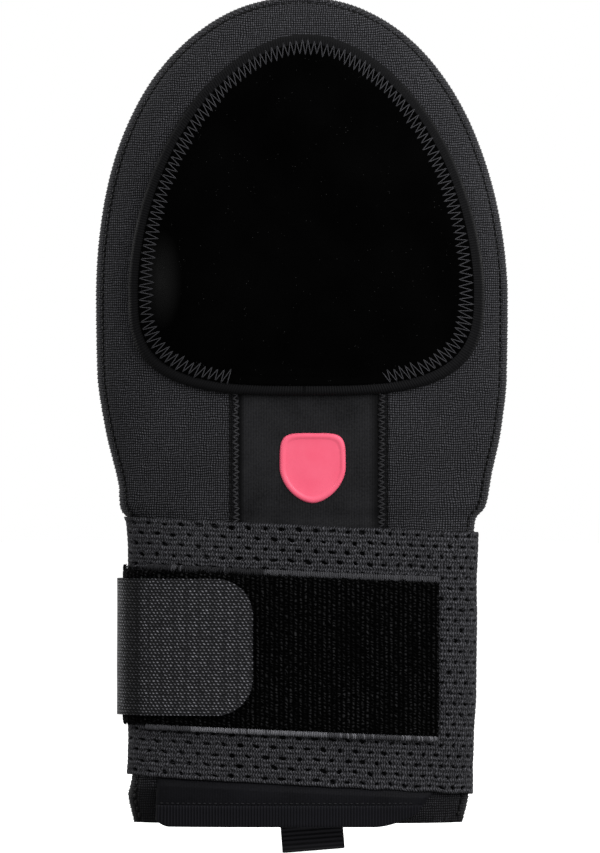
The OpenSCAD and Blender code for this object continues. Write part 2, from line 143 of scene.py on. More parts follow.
def settle(p):
    """Moves points in mm as worn padding does, so that the outline isn't quite even."""
    p = np.array(p, float)
    edge = np.clip((np.abs(p[:, 0]) / np.maximum(body_w(p[:, 2]), 8) - 0.78) / 0.22, 0, 1)
    edge = edge * edge * (3 - 2 * edge)
    right = np.interp(p[:, 2], BULGE_RIGHT[:, 0], BULGE_RIGHT[:, 1])
    left = np.interp(p[:, 2], BULGE_LEFT[:, 0], BULGE_LEFT[:, 1])
    p[:, 0] += edge * np.where(p[:, 0] > 0, right, -left)
    return p


def new_object(name, verts_mm, faces, cloth=None):
    """Smooth-shaded mesh from points in mm; cloth gives each point's place on the weave."""
    mesh = bpy.data.meshes.new(name)
    mesh.from_pydata((settle(verts_mm) * MM).tolist(), [], faces)
    if cloth is not None:
        mesh.attributes.new("cloth", "FLOAT_VECTOR", "POINT").data.foreach_set(
            "vector", np.asarray(cloth, np.float32).ravel())
    mesh.validate()
    mesh.update()
    mesh.shade_smooth()
    obj = bpy.data.objects.new(name, mesh)
    bpy.context.scene.collection.objects.link(obj)
    return obj


def outward(obj):
    bm = bmesh.new()
    bm.from_mesh(obj.data)
    bmesh.ops.recalc_face_normals(bm, faces=bm.faces)
    bm.to_mesh(obj.data)
    bm.free()
    return obj


def bake(obj):
    """Applies obj's modifiers."""
    shown = bpy.context.evaluated_depsgraph_get()
    mesh = bpy.data.meshes.new_from_object(obj.evaluated_get(shown))
    obj.modifiers.clear()
    obj.data = mesh
    return obj


def bevel(obj, width):
    m = obj.modifiers.new("edge", "BEVEL")
    m.width, m.segments = width * MM, 2
    m.limit_method, m.angle_limit = "ANGLE", math.radians(60)
    return bake(obj)


def shell(name, outer, inner, cloth, keep=None, wrap=False):
    """Closed solid between two grids of points (rows, columns, 3).

    keep masks the quads; wrap joins the last row to the first.
    """
    rows, cols = outer.shape[:2]
    quads = rows if wrap else rows - 1
    mask = np.ones((quads, cols - 1), bool) if keep is None else keep
    ids = np.arange(rows * cols).reshape(rows, cols)
    if wrap:
        ids = np.vstack([ids, ids[:1]])
    n = rows * cols
    a, b, c, d = ids[:-1, :-1], ids[:-1, 1:], ids[1:, 1:], ids[1:, :-1]
    faces = []
    top = np.stack([a, b, c, d], -1)[mask]
    faces += top.tolist() + (top[:, ::-1] + n).tolist()
    pad = np.zeros((quads + 2, cols + 1), bool)
    pad[1:-1, 1:-1] = mask
    if wrap:
        pad[0, 1:-1], pad[-1, 1:-1] = mask[-1], mask[0]
    here = pad[1:-1, 1:-1]
    for open_side, p, q in ((~pad[1:-1, :-2], d, a), (~pad[1:-1, 2:], b, c),
                            (~pad[:-2, 1:-1], a, b), (~pad[2:, 1:-1], c, d)):
        edge = here & open_side
        faces += np.stack([q[edge], p[edge], p[edge] + n, q[edge] + n], -1).tolist()
    coords = np.concatenate([cloth.reshape(n, -1)] * 2)
    if coords.shape[1] == 2:
        coords = np.column_stack([coords, np.repeat([0.0, 1.0], n)])
    verts = np.concatenate([outer.reshape(n, 3), inner.reshape(n, 3)])
    used = np.unique(np.array(faces).ravel())
    index = np.full(2 * n, -1)
    index[used] = np.arange(len(used))
    obj = new_object(name, verts[used], index[np.array(faces)].tolist(), coords[used])
    return outward(obj)


def disc(name, outer, inner, cloth):
    """Closed solid between two grids of rings (angles, rings, 3) whose last ring is filled to its middle."""
    rows, cols = outer.shape[:2]
    n = rows * cols
    ids = np.arange(n).reshape(rows, cols)
    nxt = np.roll(ids, -1, axis=0)
    top = np.stack([ids[:, :-1], ids[:, 1:], nxt[:, 1:], nxt[:, :-1]], -1).reshape(-1, 4)
    faces = top.tolist() + (top[:, ::-1] + n).tolist()
    faces += np.stack([ids[:, 0], nxt[:, 0], nxt[:, 0] + n, ids[:, 0] + n], -1).tolist()
    last = list(zip(ids[:, -1], nxt[:, -1]))
    faces += [[p, q, 2 * n] for p, q in last] + [[q + n, p + n, 2 * n + 1] for p, q in last]
    middle = np.array([outer[:, -1].mean(0), inner[:, -1].mean(0)])
    flat = cloth.reshape(n, 2)
    mid_cloth = np.repeat(cloth[:, -1].mean(0)[None], 2, 0)
    coords = np.column_stack([np.concatenate([flat, flat, mid_cloth]), np.zeros(2 * n + 2)])
    verts = np.concatenate([outer.reshape(n, 3), inner.reshape(n, 3), middle])
    return outward(new_object(name, verts, faces, coords))


def tubes(name, paths, radius, sides=6, flat=1.0):
    """One mesh of round threads, one along each path (points in mm). radius may be a list, one per path."""
    verts, faces, cloth = [], [], []
    base = 0
    for k, path in enumerate(paths):
        p = np.asarray(path, float)
        r = radius[k] if hasattr(radius, "__len__") else radius
        tangent = np.gradient(p, axis=0)
        tangent /= np.maximum(np.linalg.norm(tangent, axis=1, keepdims=True), 1e-9)
        ref = np.array([0.0, -1.0, 0.0])
        if abs(tangent[:, 1]).mean() > 0.8:
            ref = np.array([1.0, 0.0, 0.0])
        s = np.cross(tangent, ref)
        s /= np.maximum(np.linalg.norm(s, axis=1, keepdims=True), 1e-9)
        n = np.cross(s, tangent)
        a = np.linspace(0, 2 * math.pi, sides, endpoint=False)
        ends = np.ones(len(p))
        ends[0] = ends[-1] = 0.45
        ring = (p[:, None, :] + (r * ends)[:, None, None] * (np.cos(a)[None, :, None] * s[:, None, :]
                + flat * np.sin(a)[None, :, None] * n[:, None, :]))
        along = np.concatenate([[0], np.cumsum(np.linalg.norm(np.diff(p, axis=0), axis=1))])
        verts.append(ring.reshape(-1, 3))
        cloth.append(np.stack([np.tile(a * r, len(p)), np.repeat(along, sides),
                               np.full(len(p) * sides, k)], -1))
        i = np.arange(len(p) - 1)[:, None] * sides + np.arange(sides)[None, :]
        j = np.arange(len(p) - 1)[:, None] * sides + (np.arange(sides)[None, :] + 1) % sides
        quads = np.stack([i, j, j + sides, i + sides], -1).reshape(-1, 4) + base
        faces += quads.tolist()
        faces.append((base + np.arange(sides))[::-1].tolist())
        faces.append((base + (len(p) - 1) * sides + np.arange(sides)).tolist())
        base += len(p) * sides
    return outward(new_object(name, np.concatenate(verts), faces, np.concatenate(cloth)))


def fbm(x, y, z, scale, octaves=3):
    """Smooth noise at points in mm, about -1 to 1."""
    shape = np.broadcast(x, y, z).shape
    pts = np.stack([np.broadcast_to(v, shape).ravel() for v in (x, y, z)], -1) / scale
    out = np.array([noise.fractal(Vector(p), 1.0, 2.0, octaves) for p in pts])
    return out.reshape(shape)


def hat(v, lo, hi, soft):
    """1 between lo and hi, easing to 0 over soft."""
    f = np.clip(np.minimum((v - lo) / soft + 1, (hi - v) / soft + 1), 0, 1)
    return f * f * (3 - 2 * f)


def surface_of(*objects):
    """Gives the y in mm at which a ray from the palm side at x, z first meets the objects."""
    trees = [BVHTree.FromObject(o, bpy.context.evaluated_depsgraph_get()) for o in objects]

    def at(x, z, fallback=0.0):
        best = None
        for tree in trees:
            hit = tree.ray_cast(Vector((x * MM, -0.2, z * MM)), Vector((0, 1, 0)))[0]
            if hit is not None and (best is None or hit.y < best):
                best = hit.y
        return fallback if best is None else best / MM
    return at


# ------------------------------------------------------------------ materials

def srgb(*values):
    out = []
    for v in values:
        c = v / 255
        out.append(c / 12.92 if c <= 0.04045 else ((c + 0.055) / 1.055) ** 2.4)
    if len(out) == 1:
        out *= 3
    return (*out, 1.0)


class Net:
    """A material written as expressions."""

    def __init__(self, name):
        self.mat = bpy.data.materials.new(name)
        self.mat.use_nodes = True
        self.tree = self.mat.node_tree
        self.tree.nodes.clear()
        self.u = self.v = None

    def node(self, kind, inputs=(), **props):
        n = self.tree.nodes.new("ShaderNode" + kind)
        for key, value in props.items():
            setattr(n, key, value)
        pairs = inputs.items() if isinstance(inputs, dict) else enumerate(inputs)
        for key, value in pairs:
            if isinstance(value, bpy.types.NodeSocket):
                self.tree.links.new(value, n.inputs[key])
            elif value is not None:
                n.inputs[key].default_value = value
        return n

    def math(self, op, *args):
        return self.node("Math", args, operation=op).outputs[0]

    def add(self, a, b):
        return self.math("ADD", a, b)

    def mul(self, a, b):
        return self.math("MULTIPLY", a, b)

    def cloth(self):
        """The cloth's own coordinates across (u) and along (v) the weave, in mm."""
        if self.u is None:
            a = self.node("Attribute", attribute_name="cloth", attribute_type="GEOMETRY")
            s = self.node("SeparateXYZ", [a.outputs["Vector"]])
            self.u, self.v, self.w = s.outputs[0], s.outputs[1], s.outputs[2]
            self.vec = a.outputs["Vector"]
        return self.u, self.v

    def place(self):
        """Place on the object at rest, in mm."""
        c = self.node("TexCoord").outputs["Object"]
        return self.node("VectorMath", [c, (1000, 1000, 1000)], operation="MULTIPLY").outputs[0]

    def wave(self, x, period, phase=0.0):
        """0 to 1 and back in each period."""
        s = self.math("SINE", self.add(self.mul(x, 2 * math.pi / period), phase))
        return self.add(self.mul(s, 0.5), 0.5)

    def noise(self, vector, size, detail=2.0, rough=0.5):
        inputs = {"Vector": vector, "Scale": 1 / size, "Detail": detail, "Roughness": rough}
        return self.node("TexNoise", inputs).outputs[0]

    def cells(self, vector, size):
        n = self.node("TexVoronoi", {"Vector": vector, "Scale": 1 / size}, feature="F1")
        return n.outputs["Distance"]

    def fit(self, value, a, b, c=0.0, d=1.0):
        n = self.node("MapRange", {"Value": value, "From Min": a, "From Max": b, "To Min": c, "To Max": d})
        return n.outputs[0]

    def mix(self, factor, a, b):
        n = self.node("Mix", {0: factor, 6: a, 7: b}, data_type="RGBA")
        return n.outputs[2]

    def bump(self, height, depth_mm, strength=1.0, normal=None):
        inputs = {"Strength": strength, "Distance": depth_mm * MM, "Height": height}
        if normal is not None:
            inputs["Normal"] = normal
        return self.node("Bump", inputs).outputs[0]

    def finish(self, color, rough, normal=None, **sockets):
        inputs = {"Base Color": color, "Roughness": rough}
        if normal is not None:
            inputs["Normal"] = normal
        inputs.update({k.replace("_", " "): v for k, v in sockets.items()})
        p = self.node("BsdfPrincipled", inputs)
        self.node("OutputMaterial", [p.outputs[0]])
        return self.mat


def knit_material():
    m = Net("charcoal_knit")
    u, v = m.cloth()
    drift = m.noise(m.vec, 5.0, 2.0)
    warp, weft = m.wave(m.add(u, m.mul(drift, 1.6)), 0.8), m.wave(m.add(v, m.mul(drift, -1.3)), 0.85, 0.6)
    grid = m.mul(warp, weft)
    yarn = m.noise(m.vec, 0.6, 2.0)
    patchy = m.noise(m.place(), 26.0, 3.0)
    fleck = m.fit(m.noise(m.vec, 0.9, 1.0), 0.58, 0.75)
    tone = m.add(m.mul(grid, m.fit(yarn, 0.3, 0.7, 0.45, 1.4)), m.mul(fleck, 0.25))
    # painted shade: the knit is darkened towards the hem, and more so on the left side, where shade falls low
    # on the cuff
    at = m.node("SeparateXYZ", [m.place()])
    tone = m.mul(tone, m.fit(at.outputs[2], 13.0, 20.0, m.fit(at.outputs[0], -50, -40, 0.12, 0.4), 1.0))
    # painted shade: the knit is darkened along the sunk edge beside the gusset, where shade falls into the
    # seam
    near = m.math("MINIMUM", m.math("ABSOLUTE", m.add(at.outputs[0], 22.9)),
                  m.math("ABSOLUTE", m.add(at.outputs[0], -28.7)))
    seam_shade = m.mul(m.fit(near, 2.4, 1.6), m.mul(m.fit(at.outputs[2], 157, 156), m.fit(at.outputs[1], 0, -3)))
    tone = m.mul(tone, m.fit(seam_shade, 0, 1, 1.0, 0.15))
    dark = m.mix(patchy, srgb(5, 5, 6), srgb(8, 8, 9))
    light = m.mix(patchy, srgb(76, 76, 80), srgb(99, 99, 104))
    normal = m.bump(m.add(grid, m.mul(yarn, 0.35)), 0.25, 0.9)
    return m.finish(m.mix(tone, dark, light), m.fit(yarn, 0.3, 0.7, 0.78, 0.95), normal,
                    Specular_IOR_Level=0.08, Sheen_Weight=0.02, Sheen_Roughness=0.5)


def lycra_material(name, low, high, edges=(-99, 99)):
    m = Net(name)
    u, _ = m.cloth()
    fine = m.noise(m.vec, 0.8, 3.0, 0.7)
    wale = m.wave(u, 0.9)
    soft = m.noise(m.place(), 14.0, 2.0)
    tone = m.add(m.mul(m.fit(fine, 0.3, 0.7), 0.5),
                 m.add(m.mul(wale, 0.2), m.mul(m.fit(soft, 0.3, 0.7), 0.4)))
    # painted shade: the lycra is darkened close to the two seam edges given in the last argument, where shade
    # falls beside the raised panels
    tone = m.mul(tone, m.math("MINIMUM", m.fit(u, edges[0] + 0.6, edges[0] + 2, 0.15),
                              m.fit(u, edges[1] - 0.6, edges[1] - 3.5, 0.1)))
    normal = m.bump(m.add(fine, m.mul(wale, 0.5)), 0.08, 0.7)
    return m.finish(m.mix(tone, srgb(*low), srgb(*high)), m.fit(soft, 0.3, 0.7, 0.55, 0.7), normal,
                    Specular_IOR_Level=0.08, Sheen_Weight=0.01, Sheen_Roughness=0.4)


def velour_material():
    m = Net("black_velour")
    m.cloth()
    nap = m.noise(m.vec, 0.4, 3.0, 0.7)
    cloud = m.noise(m.place(), 20.0, 3.0)
    speck = m.fit(m.cells(m.vec, 1.3), 0.12, 0.03)
    rare = m.fit(m.noise(m.vec, 5.5, 1.0), 0.55, 0.62)
    lint = m.mul(speck, rare)
    # painted highlight: a lighter patch of pile near the edge, standing in for sheen where light catches the
    # velour
    off = m.node("VectorMath", [m.place(), (-48.6, 0, 191.5)], operation="SUBTRACT").outputs[0]
    off = m.node("VectorMath", [off, (1.0, 0.0, 0.42)], operation="MULTIPLY").outputs[0]
    away = m.node("VectorMath", [off], operation="LENGTH").outputs["Value"]
    painted_sheen = m.fit(m.add(away, m.mul(cloud, 2.5)), 8.5, 0.8)
    base = m.mix(m.add(m.mul(m.mul(nap, cloud), 0.3), m.mul(painted_sheen, 0.9)), srgb(0.1), srgb(27, 27, 27))
    normal = m.bump(nap, 0.3, 0.9)
    return m.finish(m.mix(m.mul(lint, 0.55), base, srgb(74, 74, 74)), m.fit(nap, 0.3, 0.7, 0.85, 1.0), normal,
                    Specular_IOR_Level=0.006, Sheen_Weight=0.003, Sheen_Roughness=0.35)


def loop_material():
    m = Net("black_loop_pile")
    u, v = m.cloth()
    drift, vary = m.noise(m.vec, 2.4, 2.0), m.noise(m.vec, 1.3, 1.0)
    fuzz = m.noise(m.vec, 0.5, 3.0, 0.7)
    column = m.wave(m.add(u, m.mul(drift, 0.8)), 1.6)
    drawn = m.node("VectorMath", [m.vec, (1.0, 0.06, 0.0)], operation="MULTIPLY").outputs[0]
    streak = m.noise(drawn, 1.6, 1.0)
    knots = m.wave(m.add(v, m.add(m.mul(m.noise(m.vec, 1.8, 1.0), 2.6), m.mul(u, 0.3))), 1.25)
    dots = m.math("POWER", m.mul(column, knots), 1.5)
    tone = m.mul(m.mul(dots, m.fit(vary, 0.38, 0.62, 0.2, 1.2)), m.fit(fuzz, 0.3, 0.7, 0.3, 1.2))
    tone = m.mul(tone, m.fit(streak, 0.4, 0.6, 0.5, 1.4))
    normal = m.bump(m.add(dots, m.mul(fuzz, 0.8)), 0.5, 0.9)
    return m.finish(m.mix(tone, srgb(0.3), srgb(45, 45, 46)), m.fit(fuzz, 0.3, 0.7, 0.8, 1.0), normal,
                    Specular_IOR_Level=0.02, Sheen_Weight=0.006, Sheen_Roughness=0.4)


def elastic_material():
    m = Net("ribbed_elastic")
    u, v = m.cloth()
    cord = m.wave(v, 1.8, -math.pi / 2)
    stitch = m.wave(m.add(u, m.add(m.mul(m.noise(m.vec, 1.6, 1.0), 0.9), m.mul(cord, 0.35))), 0.92)
    fuzz = m.noise(m.vec, 0.75, 3.0, 0.7)
    patchy = m.noise(m.place(), 18.0, 2.0)
    tone = m.mul(m.fit(cord, 0, 0.8, 0.45, 1.0), m.fit(stitch, 0, 1, 0.15, 1.0))
    tone = m.mul(tone, m.fit(fuzz, 0.34, 0.66, 0.0, 1.35))
    dark = m.mix(patchy, srgb(3, 3, 4), srgb(6, 6, 7))
    light = m.mix(patchy, srgb(82, 82, 86), srgb(103, 103, 108))
    normal = m.bump(m.add(m.mul(cord, 0.8), m.add(stitch, m.mul(fuzz, 0.6))), 0.3, 0.9)
    return m.finish(m.mix(tone, dark, light), m.fit(fuzz, 0.3, 0.7, 0.8, 1.0), normal,
                    Specular_IOR_Level=0.06, Sheen_Weight=0.02, Sheen_Roughness=0.5)


def hook_tape_material(crease_shade):
    m = Net("hook_tape_back")
    u, v = m.cloth()
    drift = m.noise(m.vec, 1.6, 2.0)
    slant = m.add(m.add(u, m.mul(v, 0.6)), m.mul(drift, 1.0))
    dots = m.mul(m.wave(slant, 1.3), m.wave(m.add(v, m.mul(m.noise(m.vec, 1.3, 1.0), 0.7)), 1.08))
    gap = m.math("POWER", m.wave(u, 4.2, 0.7), 8.0)
    fine, vary = m.noise(m.vec, 0.4, 2.0), m.noise(m.vec, 2.2, 1.0)
    # painted shade: a darker band across the tape where it bends round the wrist's side, standing in for the
    # shade there
    crease_shade_mask = m.mul(m.fit(u, crease_shade[0] - 1.2, crease_shade[0] + 1.0), m.fit(u, crease_shade[1] + 2.5, crease_shade[1] - 1.0))
    tone = m.mul(m.math("POWER", dots, 2.8), m.fit(vary, 0.3, 0.7, 0.4, 1.4))
    tone = m.mul(tone, m.fit(gap, 0, 1, 1.0, 0.4))
    tone = m.mul(m.add(tone, m.mul(fine, 0.05)), m.fit(crease_shade_mask, 0, 1, 1.0, 0.3))
    normal = m.bump(m.add(dots, m.mul(fine, 0.3)), 0.3, 0.9)
    return m.finish(m.mix(tone, srgb(2, 2, 3), srgb(142, 142, 148)), m.fit(fine, 0.3, 0.7, 0.5, 0.68), normal,
                    Specular_IOR_Level=0.12)


def edging_material(name, low, high, period):
    """Folded elastic or neoprene with fine ribs across it."""
    m = Net(name)
    u, _ = m.cloth()
    rib = m.wave(u, period)
    fine = m.noise(m.vec, 0.4, 2.0)
    soft = m.noise(m.place(), 9.0, 2.0)
    tone = m.add(m.mul(rib, 0.4), m.add(m.mul(fine, 0.3), m.mul(soft, 0.35)))
    normal = m.bump(m.add(rib, m.mul(fine, 0.5)), 0.16, 0.8)
    return m.finish(m.mix(tone, srgb(*low), srgb(*high)), m.fit(soft, 0.3, 0.7, 0.6, 0.75), normal,
                    Specular_IOR_Level=0.08, Sheen_Weight=0.01)


def thread_material(name, low, high):
    m = Net(name)
    u, v = m.cloth()
    ply = m.wave(m.add(v, m.mul(u, 1.6)), 0.5)
    fibre = m.noise(m.vec, 0.25, 2.0)
    vary = m.node("TexWhiteNoise", {"W": m.w}, noise_dimensions="1D").outputs[0]
    tone = m.add(m.mul(ply, 0.5), m.add(m.mul(fibre, 0.25), m.mul(vary, 0.3)))
    normal = m.bump(ply, 0.08, 0.8)
    return m.finish(m.mix(tone, srgb(*low), srgb(*high)), m.fit(fibre, 0.3, 0.7, 0.55, 0.75), normal,
                    Specular_IOR_Level=0.15)


def grosgrain_material():
    m = Net("grosgrain_webbing")
    u, v = m.cloth()
    rib = m.wave(v, 1.5)
    cross = m.wave(u, 0.45)
    fine = m.noise(m.vec, 0.35, 2.0)
    tone = m.add(m.mul(rib, 0.5), m.add(m.mul(cross, 0.2), m.mul(fine, 0.3)))
    normal = m.bump(m.add(m.mul(cross, 0.5), m.mul(fine, 0.4)), 0.12, 0.8)
    return m.finish(m.mix(tone, srgb(4, 4, 6), srgb(42, 41, 47)), m.fit(fine, 0.3, 0.7, 0.6, 0.8), normal,
                    Specular_IOR_Level=0.22)


def rubber_material():
    m = Net("pink_rubber")
    at = m.place()
    soft, fine = m.noise(at, 6.0, 2.0), m.noise(at, 0.35, 2.0)
    color = m.mix(soft, srgb(250, 92, 122), srgb(255, 108, 136))
    return m.finish(color, m.fit(fine, 0.3, 0.7, 0.42, 0.55), m.bump(fine, 0.03, 0.6),
                    Specular_IOR_Level=0.35)


def foam_material():
    m = Net("closed_cell_foam")
    at = m.place()
    cell = m.cells(at, 0.9)
    soft = m.noise(at, 8.0, 2.0)
    color = m.mix(m.add(m.mul(cell, 0.6), m.mul(soft, 0.4)), srgb(120, 119, 112), srgb(176, 175, 166))
    return m.finish(color, m.fit(cell, 0, 1, 0.8, 0.95), m.bump(cell, 0.25, 0.7), Specular_IOR_Level=0.2)


def plate_material():
    m = Net("moulded_plate")
    at = m.place()
    grain, soft = m.noise(at, 0.5, 3.0), m.noise(at, 15.0, 2.0)
    color = m.mix(soft, srgb(214, 216, 218), srgb(230, 231, 232))
    return m.finish(color, m.fit(grain, 0.3, 0.7, 0.35, 0.5), m.bump(grain, 0.05, 0.5),
                    Specular_IOR_Level=0.4)


def lining_material():
    m = Net("brushed_lining")
    at = m.place()
    nap = m.noise(at, 0.5, 3.0, 0.7)
    part = m.node("SeparateXYZ", [at])
    wale = m.wave(part.outputs[0], 0.9)
    color = m.mix(m.add(m.mul(nap, 0.6), m.mul(wale, 0.3)), srgb(12, 12, 13), srgb(52, 52, 55))
    return m.finish(color, m.fit(nap, 0.3, 0.7, 0.85, 1.0), m.bump(m.add(nap, m.mul(wale, 0.5)), 0.2, 0.8),
                    Specular_IOR_Level=0.08, Sheen_Weight=0.03)


def hooks_material():
    m = Net("nylon_hooks")
    m.cloth()
    fine = m.noise(m.vec, 0.3, 2.0)
    color = m.mix(fine, srgb(18, 18, 19), srgb(58, 58, 61))
    return m.finish(color, m.fit(fine, 0.3, 0.7, 0.3, 0.45), m.bump(fine, 0.03, 0.5), Specular_IOR_Level=0.4)


KNIT = knit_material()
# the last pair gives the gusset's seam edges, along which shade is painted
LYCRA = lycra_material("black_lycra", (2, 2, 3), (40, 40, 42), (-21.4, 27.2))
TONGUE = lycra_material("tongue_lycra", (2, 2, 3), (20, 20, 24))
VELOUR = velour_material()
LOOP = loop_material()
ELASTIC = elastic_material()
RIM = edging_material("pad_edging", (1.5, 1.5, 2), (17, 17, 19), 0.9)
HEM = edging_material("hem_edging", (1.5, 1.5, 2), (28, 28, 33), 1.05)
PIPING = edging_material("seam_piping", (9, 9, 10), (54, 54, 57), 0.8)
GREY_THREAD = thread_material("grey_thread", (66, 66, 70), (140, 140, 145))
DIM_THREAD = thread_material("dim_thread", (34, 34, 36), (92, 92, 96))
PAD_THREAD = thread_material("pad_thread", (16, 16, 18), (80, 80, 84))
SEAM_THREAD = thread_material("seam_thread", (10, 10, 11), (70, 70, 73))
DARK_THREAD = thread_material("dark_thread", (14, 14, 15), (50, 50, 53))
BLACK_THREAD = thread_material("black_thread", (1, 1, 1), (12, 12, 13))
WEBBING = grosgrain_material()
PINK = rubber_material()
FOAM = foam_material()
PLATE = plate_material()
LINING = lining_material()
HOOKS = hooks_material()


def wear(obj, material, body=None, replaces=()):
    obj.data.materials.clear()
    obj.data.materials.append(material)
    if replaces:
        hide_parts(*replaces)
    if body:
        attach(obj, body)
    return obj


# ------------------------------------------------------------------ covers

SLOT = (-21.4, 27.2)
SLOT_TOP = 157.0


def outline_inset(x, z):
    """About how far a point is from the side seam, in mm, seen from the palm side."""
    w = body_w(z)
    side = w - np.abs(x)
    tilt = np.abs(body_w(np.minimum(z + 1, DOME_Z + DOME_H - 1e-3)) - w)
    return side / np.sqrt(1 + tilt ** 2)


def cover_rows(n_low, n_dome):
    low = np.concatenate([np.linspace(HEM_Z, 100, 24, endpoint=False),
                          np.linspace(100, DOME_Z, n_low, endpoint=False)])
    angle = np.linspace(0, math.radians(89.3), n_dome)
    return np.concatenate([low, DOME_Z + DOME_H * np.sin(angle)])


def relief(x, z, side):
    """How far the padded cover stands out of its plain shape, in mm."""
    d = outline_inset(x, z)
    swell = fbm(x, z, np.full_like(x, 31.0 * side), 34.0, 2) * 0.55
    seam = -0.75 * np.exp(-((d - 2.25) / 0.5) ** 2)
    pucker = -0.22 * np.exp(-((d - 2.8) / 2.4) ** 2) * (0.5 + 0.5 * np.cos(2 * math.pi * (x + z) / 3.1))
    above = np.clip((z - 104) / 34, 0, 1)
    folds = fbm(x, z * 0.22, np.full_like(x, 5.0 + side), 11.0, 2) * 1.5 * (1 - above) ** 2 * (z > 100)
    cuff = fbm(x, z * 0.7, np.full_like(x, 9.0 + side), 12.0, 2) * 0.5 * (z < 20)
    edge = np.clip(d / 3.0, 0, 1)
    return (swell * edge + folds * edge + cuff * edge + seam + pucker)


def cover(name, side):
    zs = cover_rows(56, 92)
    if side == FRONT:
        n_left, n_slot, n_right = 56, 44, 56

        def columns(z):
            w = float(body_w(z))
            lo, hi = (math.copysign(min(abs(s), 0.49 * w), s) for s in SLOT)
            left = [-w + (lo + w) * (1 - math.cos(math.pi / 2 * i / n_left)) for i in range(n_left)]
            mid = [lo + (hi - lo) * i / n_slot for i in range(n_slot)]
            right = [hi + (w - hi) * math.sin(math.pi / 2 * i / n_right) for i in range(n_right + 1)]
            return left + mid + right
        xs = np.array([columns(z) for z in zs])
    else:
        f = np.sin(np.linspace(-math.pi / 2, math.pi / 2, 141))
        xs = body_w(zs)[:, None] * f[None, :]
    z = np.broadcast_to(zs[:, None], xs.shape)
    w = body_w(z)
    y = body_y(xs, z, 0.0, side)
    h = relief(xs, z, side)
    if side == FRONT:
        # the cut edge beside the gusset is folded under, and the panel sinks to its seam
        gap = np.minimum(np.abs(xs - SLOT[0]), np.abs(xs - SLOT[1]))
        beside = hat(z, 0, SLOT_TOP - 4, 4)
        h += beside * (0.35 * np.exp(-((gap - 1.6) / 1.2) ** 2) - 0.5 * np.exp(-(gap / 0.5) ** 2))
    hem = np.clip((z - HEM_Z) / 3.0, 0, 1)
    h -= 1.1 * (1 - hem) ** 2
    reach = np.clip(np.abs(y) - SEAM_Y, 0, 3) / 3
    outer = np.stack([xs, y + side * h * reach, z], -1)
    inner_scale = (w - 1.4) / np.maximum(w, 1e-6)
    xi = xs * inner_scale
    yi = body_y(xi, z, 1.3, side)
    inner = np.stack([xi, yi, lift(z, 1.4)], -1)
    keep = np.ones((len(zs) - 1, xs.shape[1] - 1), bool)
    if side == FRONT:
        keep[np.ix_(zs[:-1] < SLOT_TOP, np.arange(n_left, n_left + n_slot))] = False
    across = np.cumsum(np.hypot(np.diff(xs, axis=1, prepend=xs[:, :1]),
                                np.diff(y, axis=1, prepend=y[:, :1])), axis=1)
    across -= across[:, xs.shape[1] // 2][:, None]
    u = xs + 0.6 * (across - xs)
    along = np.cumsum(np.hypot(np.diff(z, axis=0, prepend=z[:1]), np.diff(y, axis=0, prepend=y[:1])), axis=0)
    tip = np.clip((z - DOME_Z - 70) / 30, 0, 1)
    v = z + (0.3 + 0.65 * tip * tip * (3 - 2 * tip)) * (along - z)
    return shell(name, outer, inner, np.stack([u, v], -1), keep)


front_cover = cover("front_cover_knit", FRONT)
wear(front_cover, KNIT, "mitt", ["front_cover"])
back_cover = cover("back_cover_knit", BACK)
wear(back_cover, KNIT, "mitt", ["back_cover"])


def front_grid(xs, zs, t):
    """Points over the palm side at depth t under its surface, for x and z arrays of one shape."""
    return np.stack([xs, body_y(xs, zs, t, FRONT), zs], -1)


# gusset between the two side panels
rows = np.linspace(HEM_Z, SLOT_TOP - 1.5, 150)
cols = np.linspace(SLOT[0] - 0.4, SLOT[1] + 0.4, 60)
gx, gz = np.meshgrid(cols, rows)
edge = np.minimum(gx - cols[0], cols[-1] - gx)
dip = 0.55 - 0.35 * np.clip(edge / 5, 0, 1) - 0.25 * fbm(gx, gz, np.full_like(gx, 2.0), 15.0, 2)
gather = np.clip(fbm(gx, gz * 0.3, np.full_like(gx, 8.0), 7.0, 2), -0.6, 1)
dip -= 0.35 * gather * np.exp(-np.clip(gz - 106, 0, 99) / 9) * (gz > 100)
gusset = shell("gusset_lycra", front_grid(gx, gz, dip), front_grid(gx, gz, 1.75), np.stack([gx, gz], -1))
wear(gusset, LYCRA, "mitt", ["gusset_panel"])

# ------------------------------------------------------------------ side seam

seam_z = np.concatenate([np.linspace(HEM_Z, DOME_Z, 120, endpoint=False),
                         DOME_Z + DOME_H * np.sin(np.linspace(0, math.pi / 2, 90))])


def outline(inset):
    """Points 0.5 mm apart, inset mm inside the outline, from the left hem to the right one."""
    w = body_w(seam_z, inset)
    z = lift(seam_z, inset)
    left = np.stack([-w, z], -1)
    path = np.concatenate([left, (left * [-1, 1])[-2::-1]])
    step = np.concatenate([[0], np.cumsum(np.linalg.norm(np.diff(path, axis=0), axis=1))])
    even = np.arange(0, step[-1], 0.5)
    return np.stack([np.interp(even, step, path[:, 0]), np.interp(even, step, path[:, 1])], -1), even


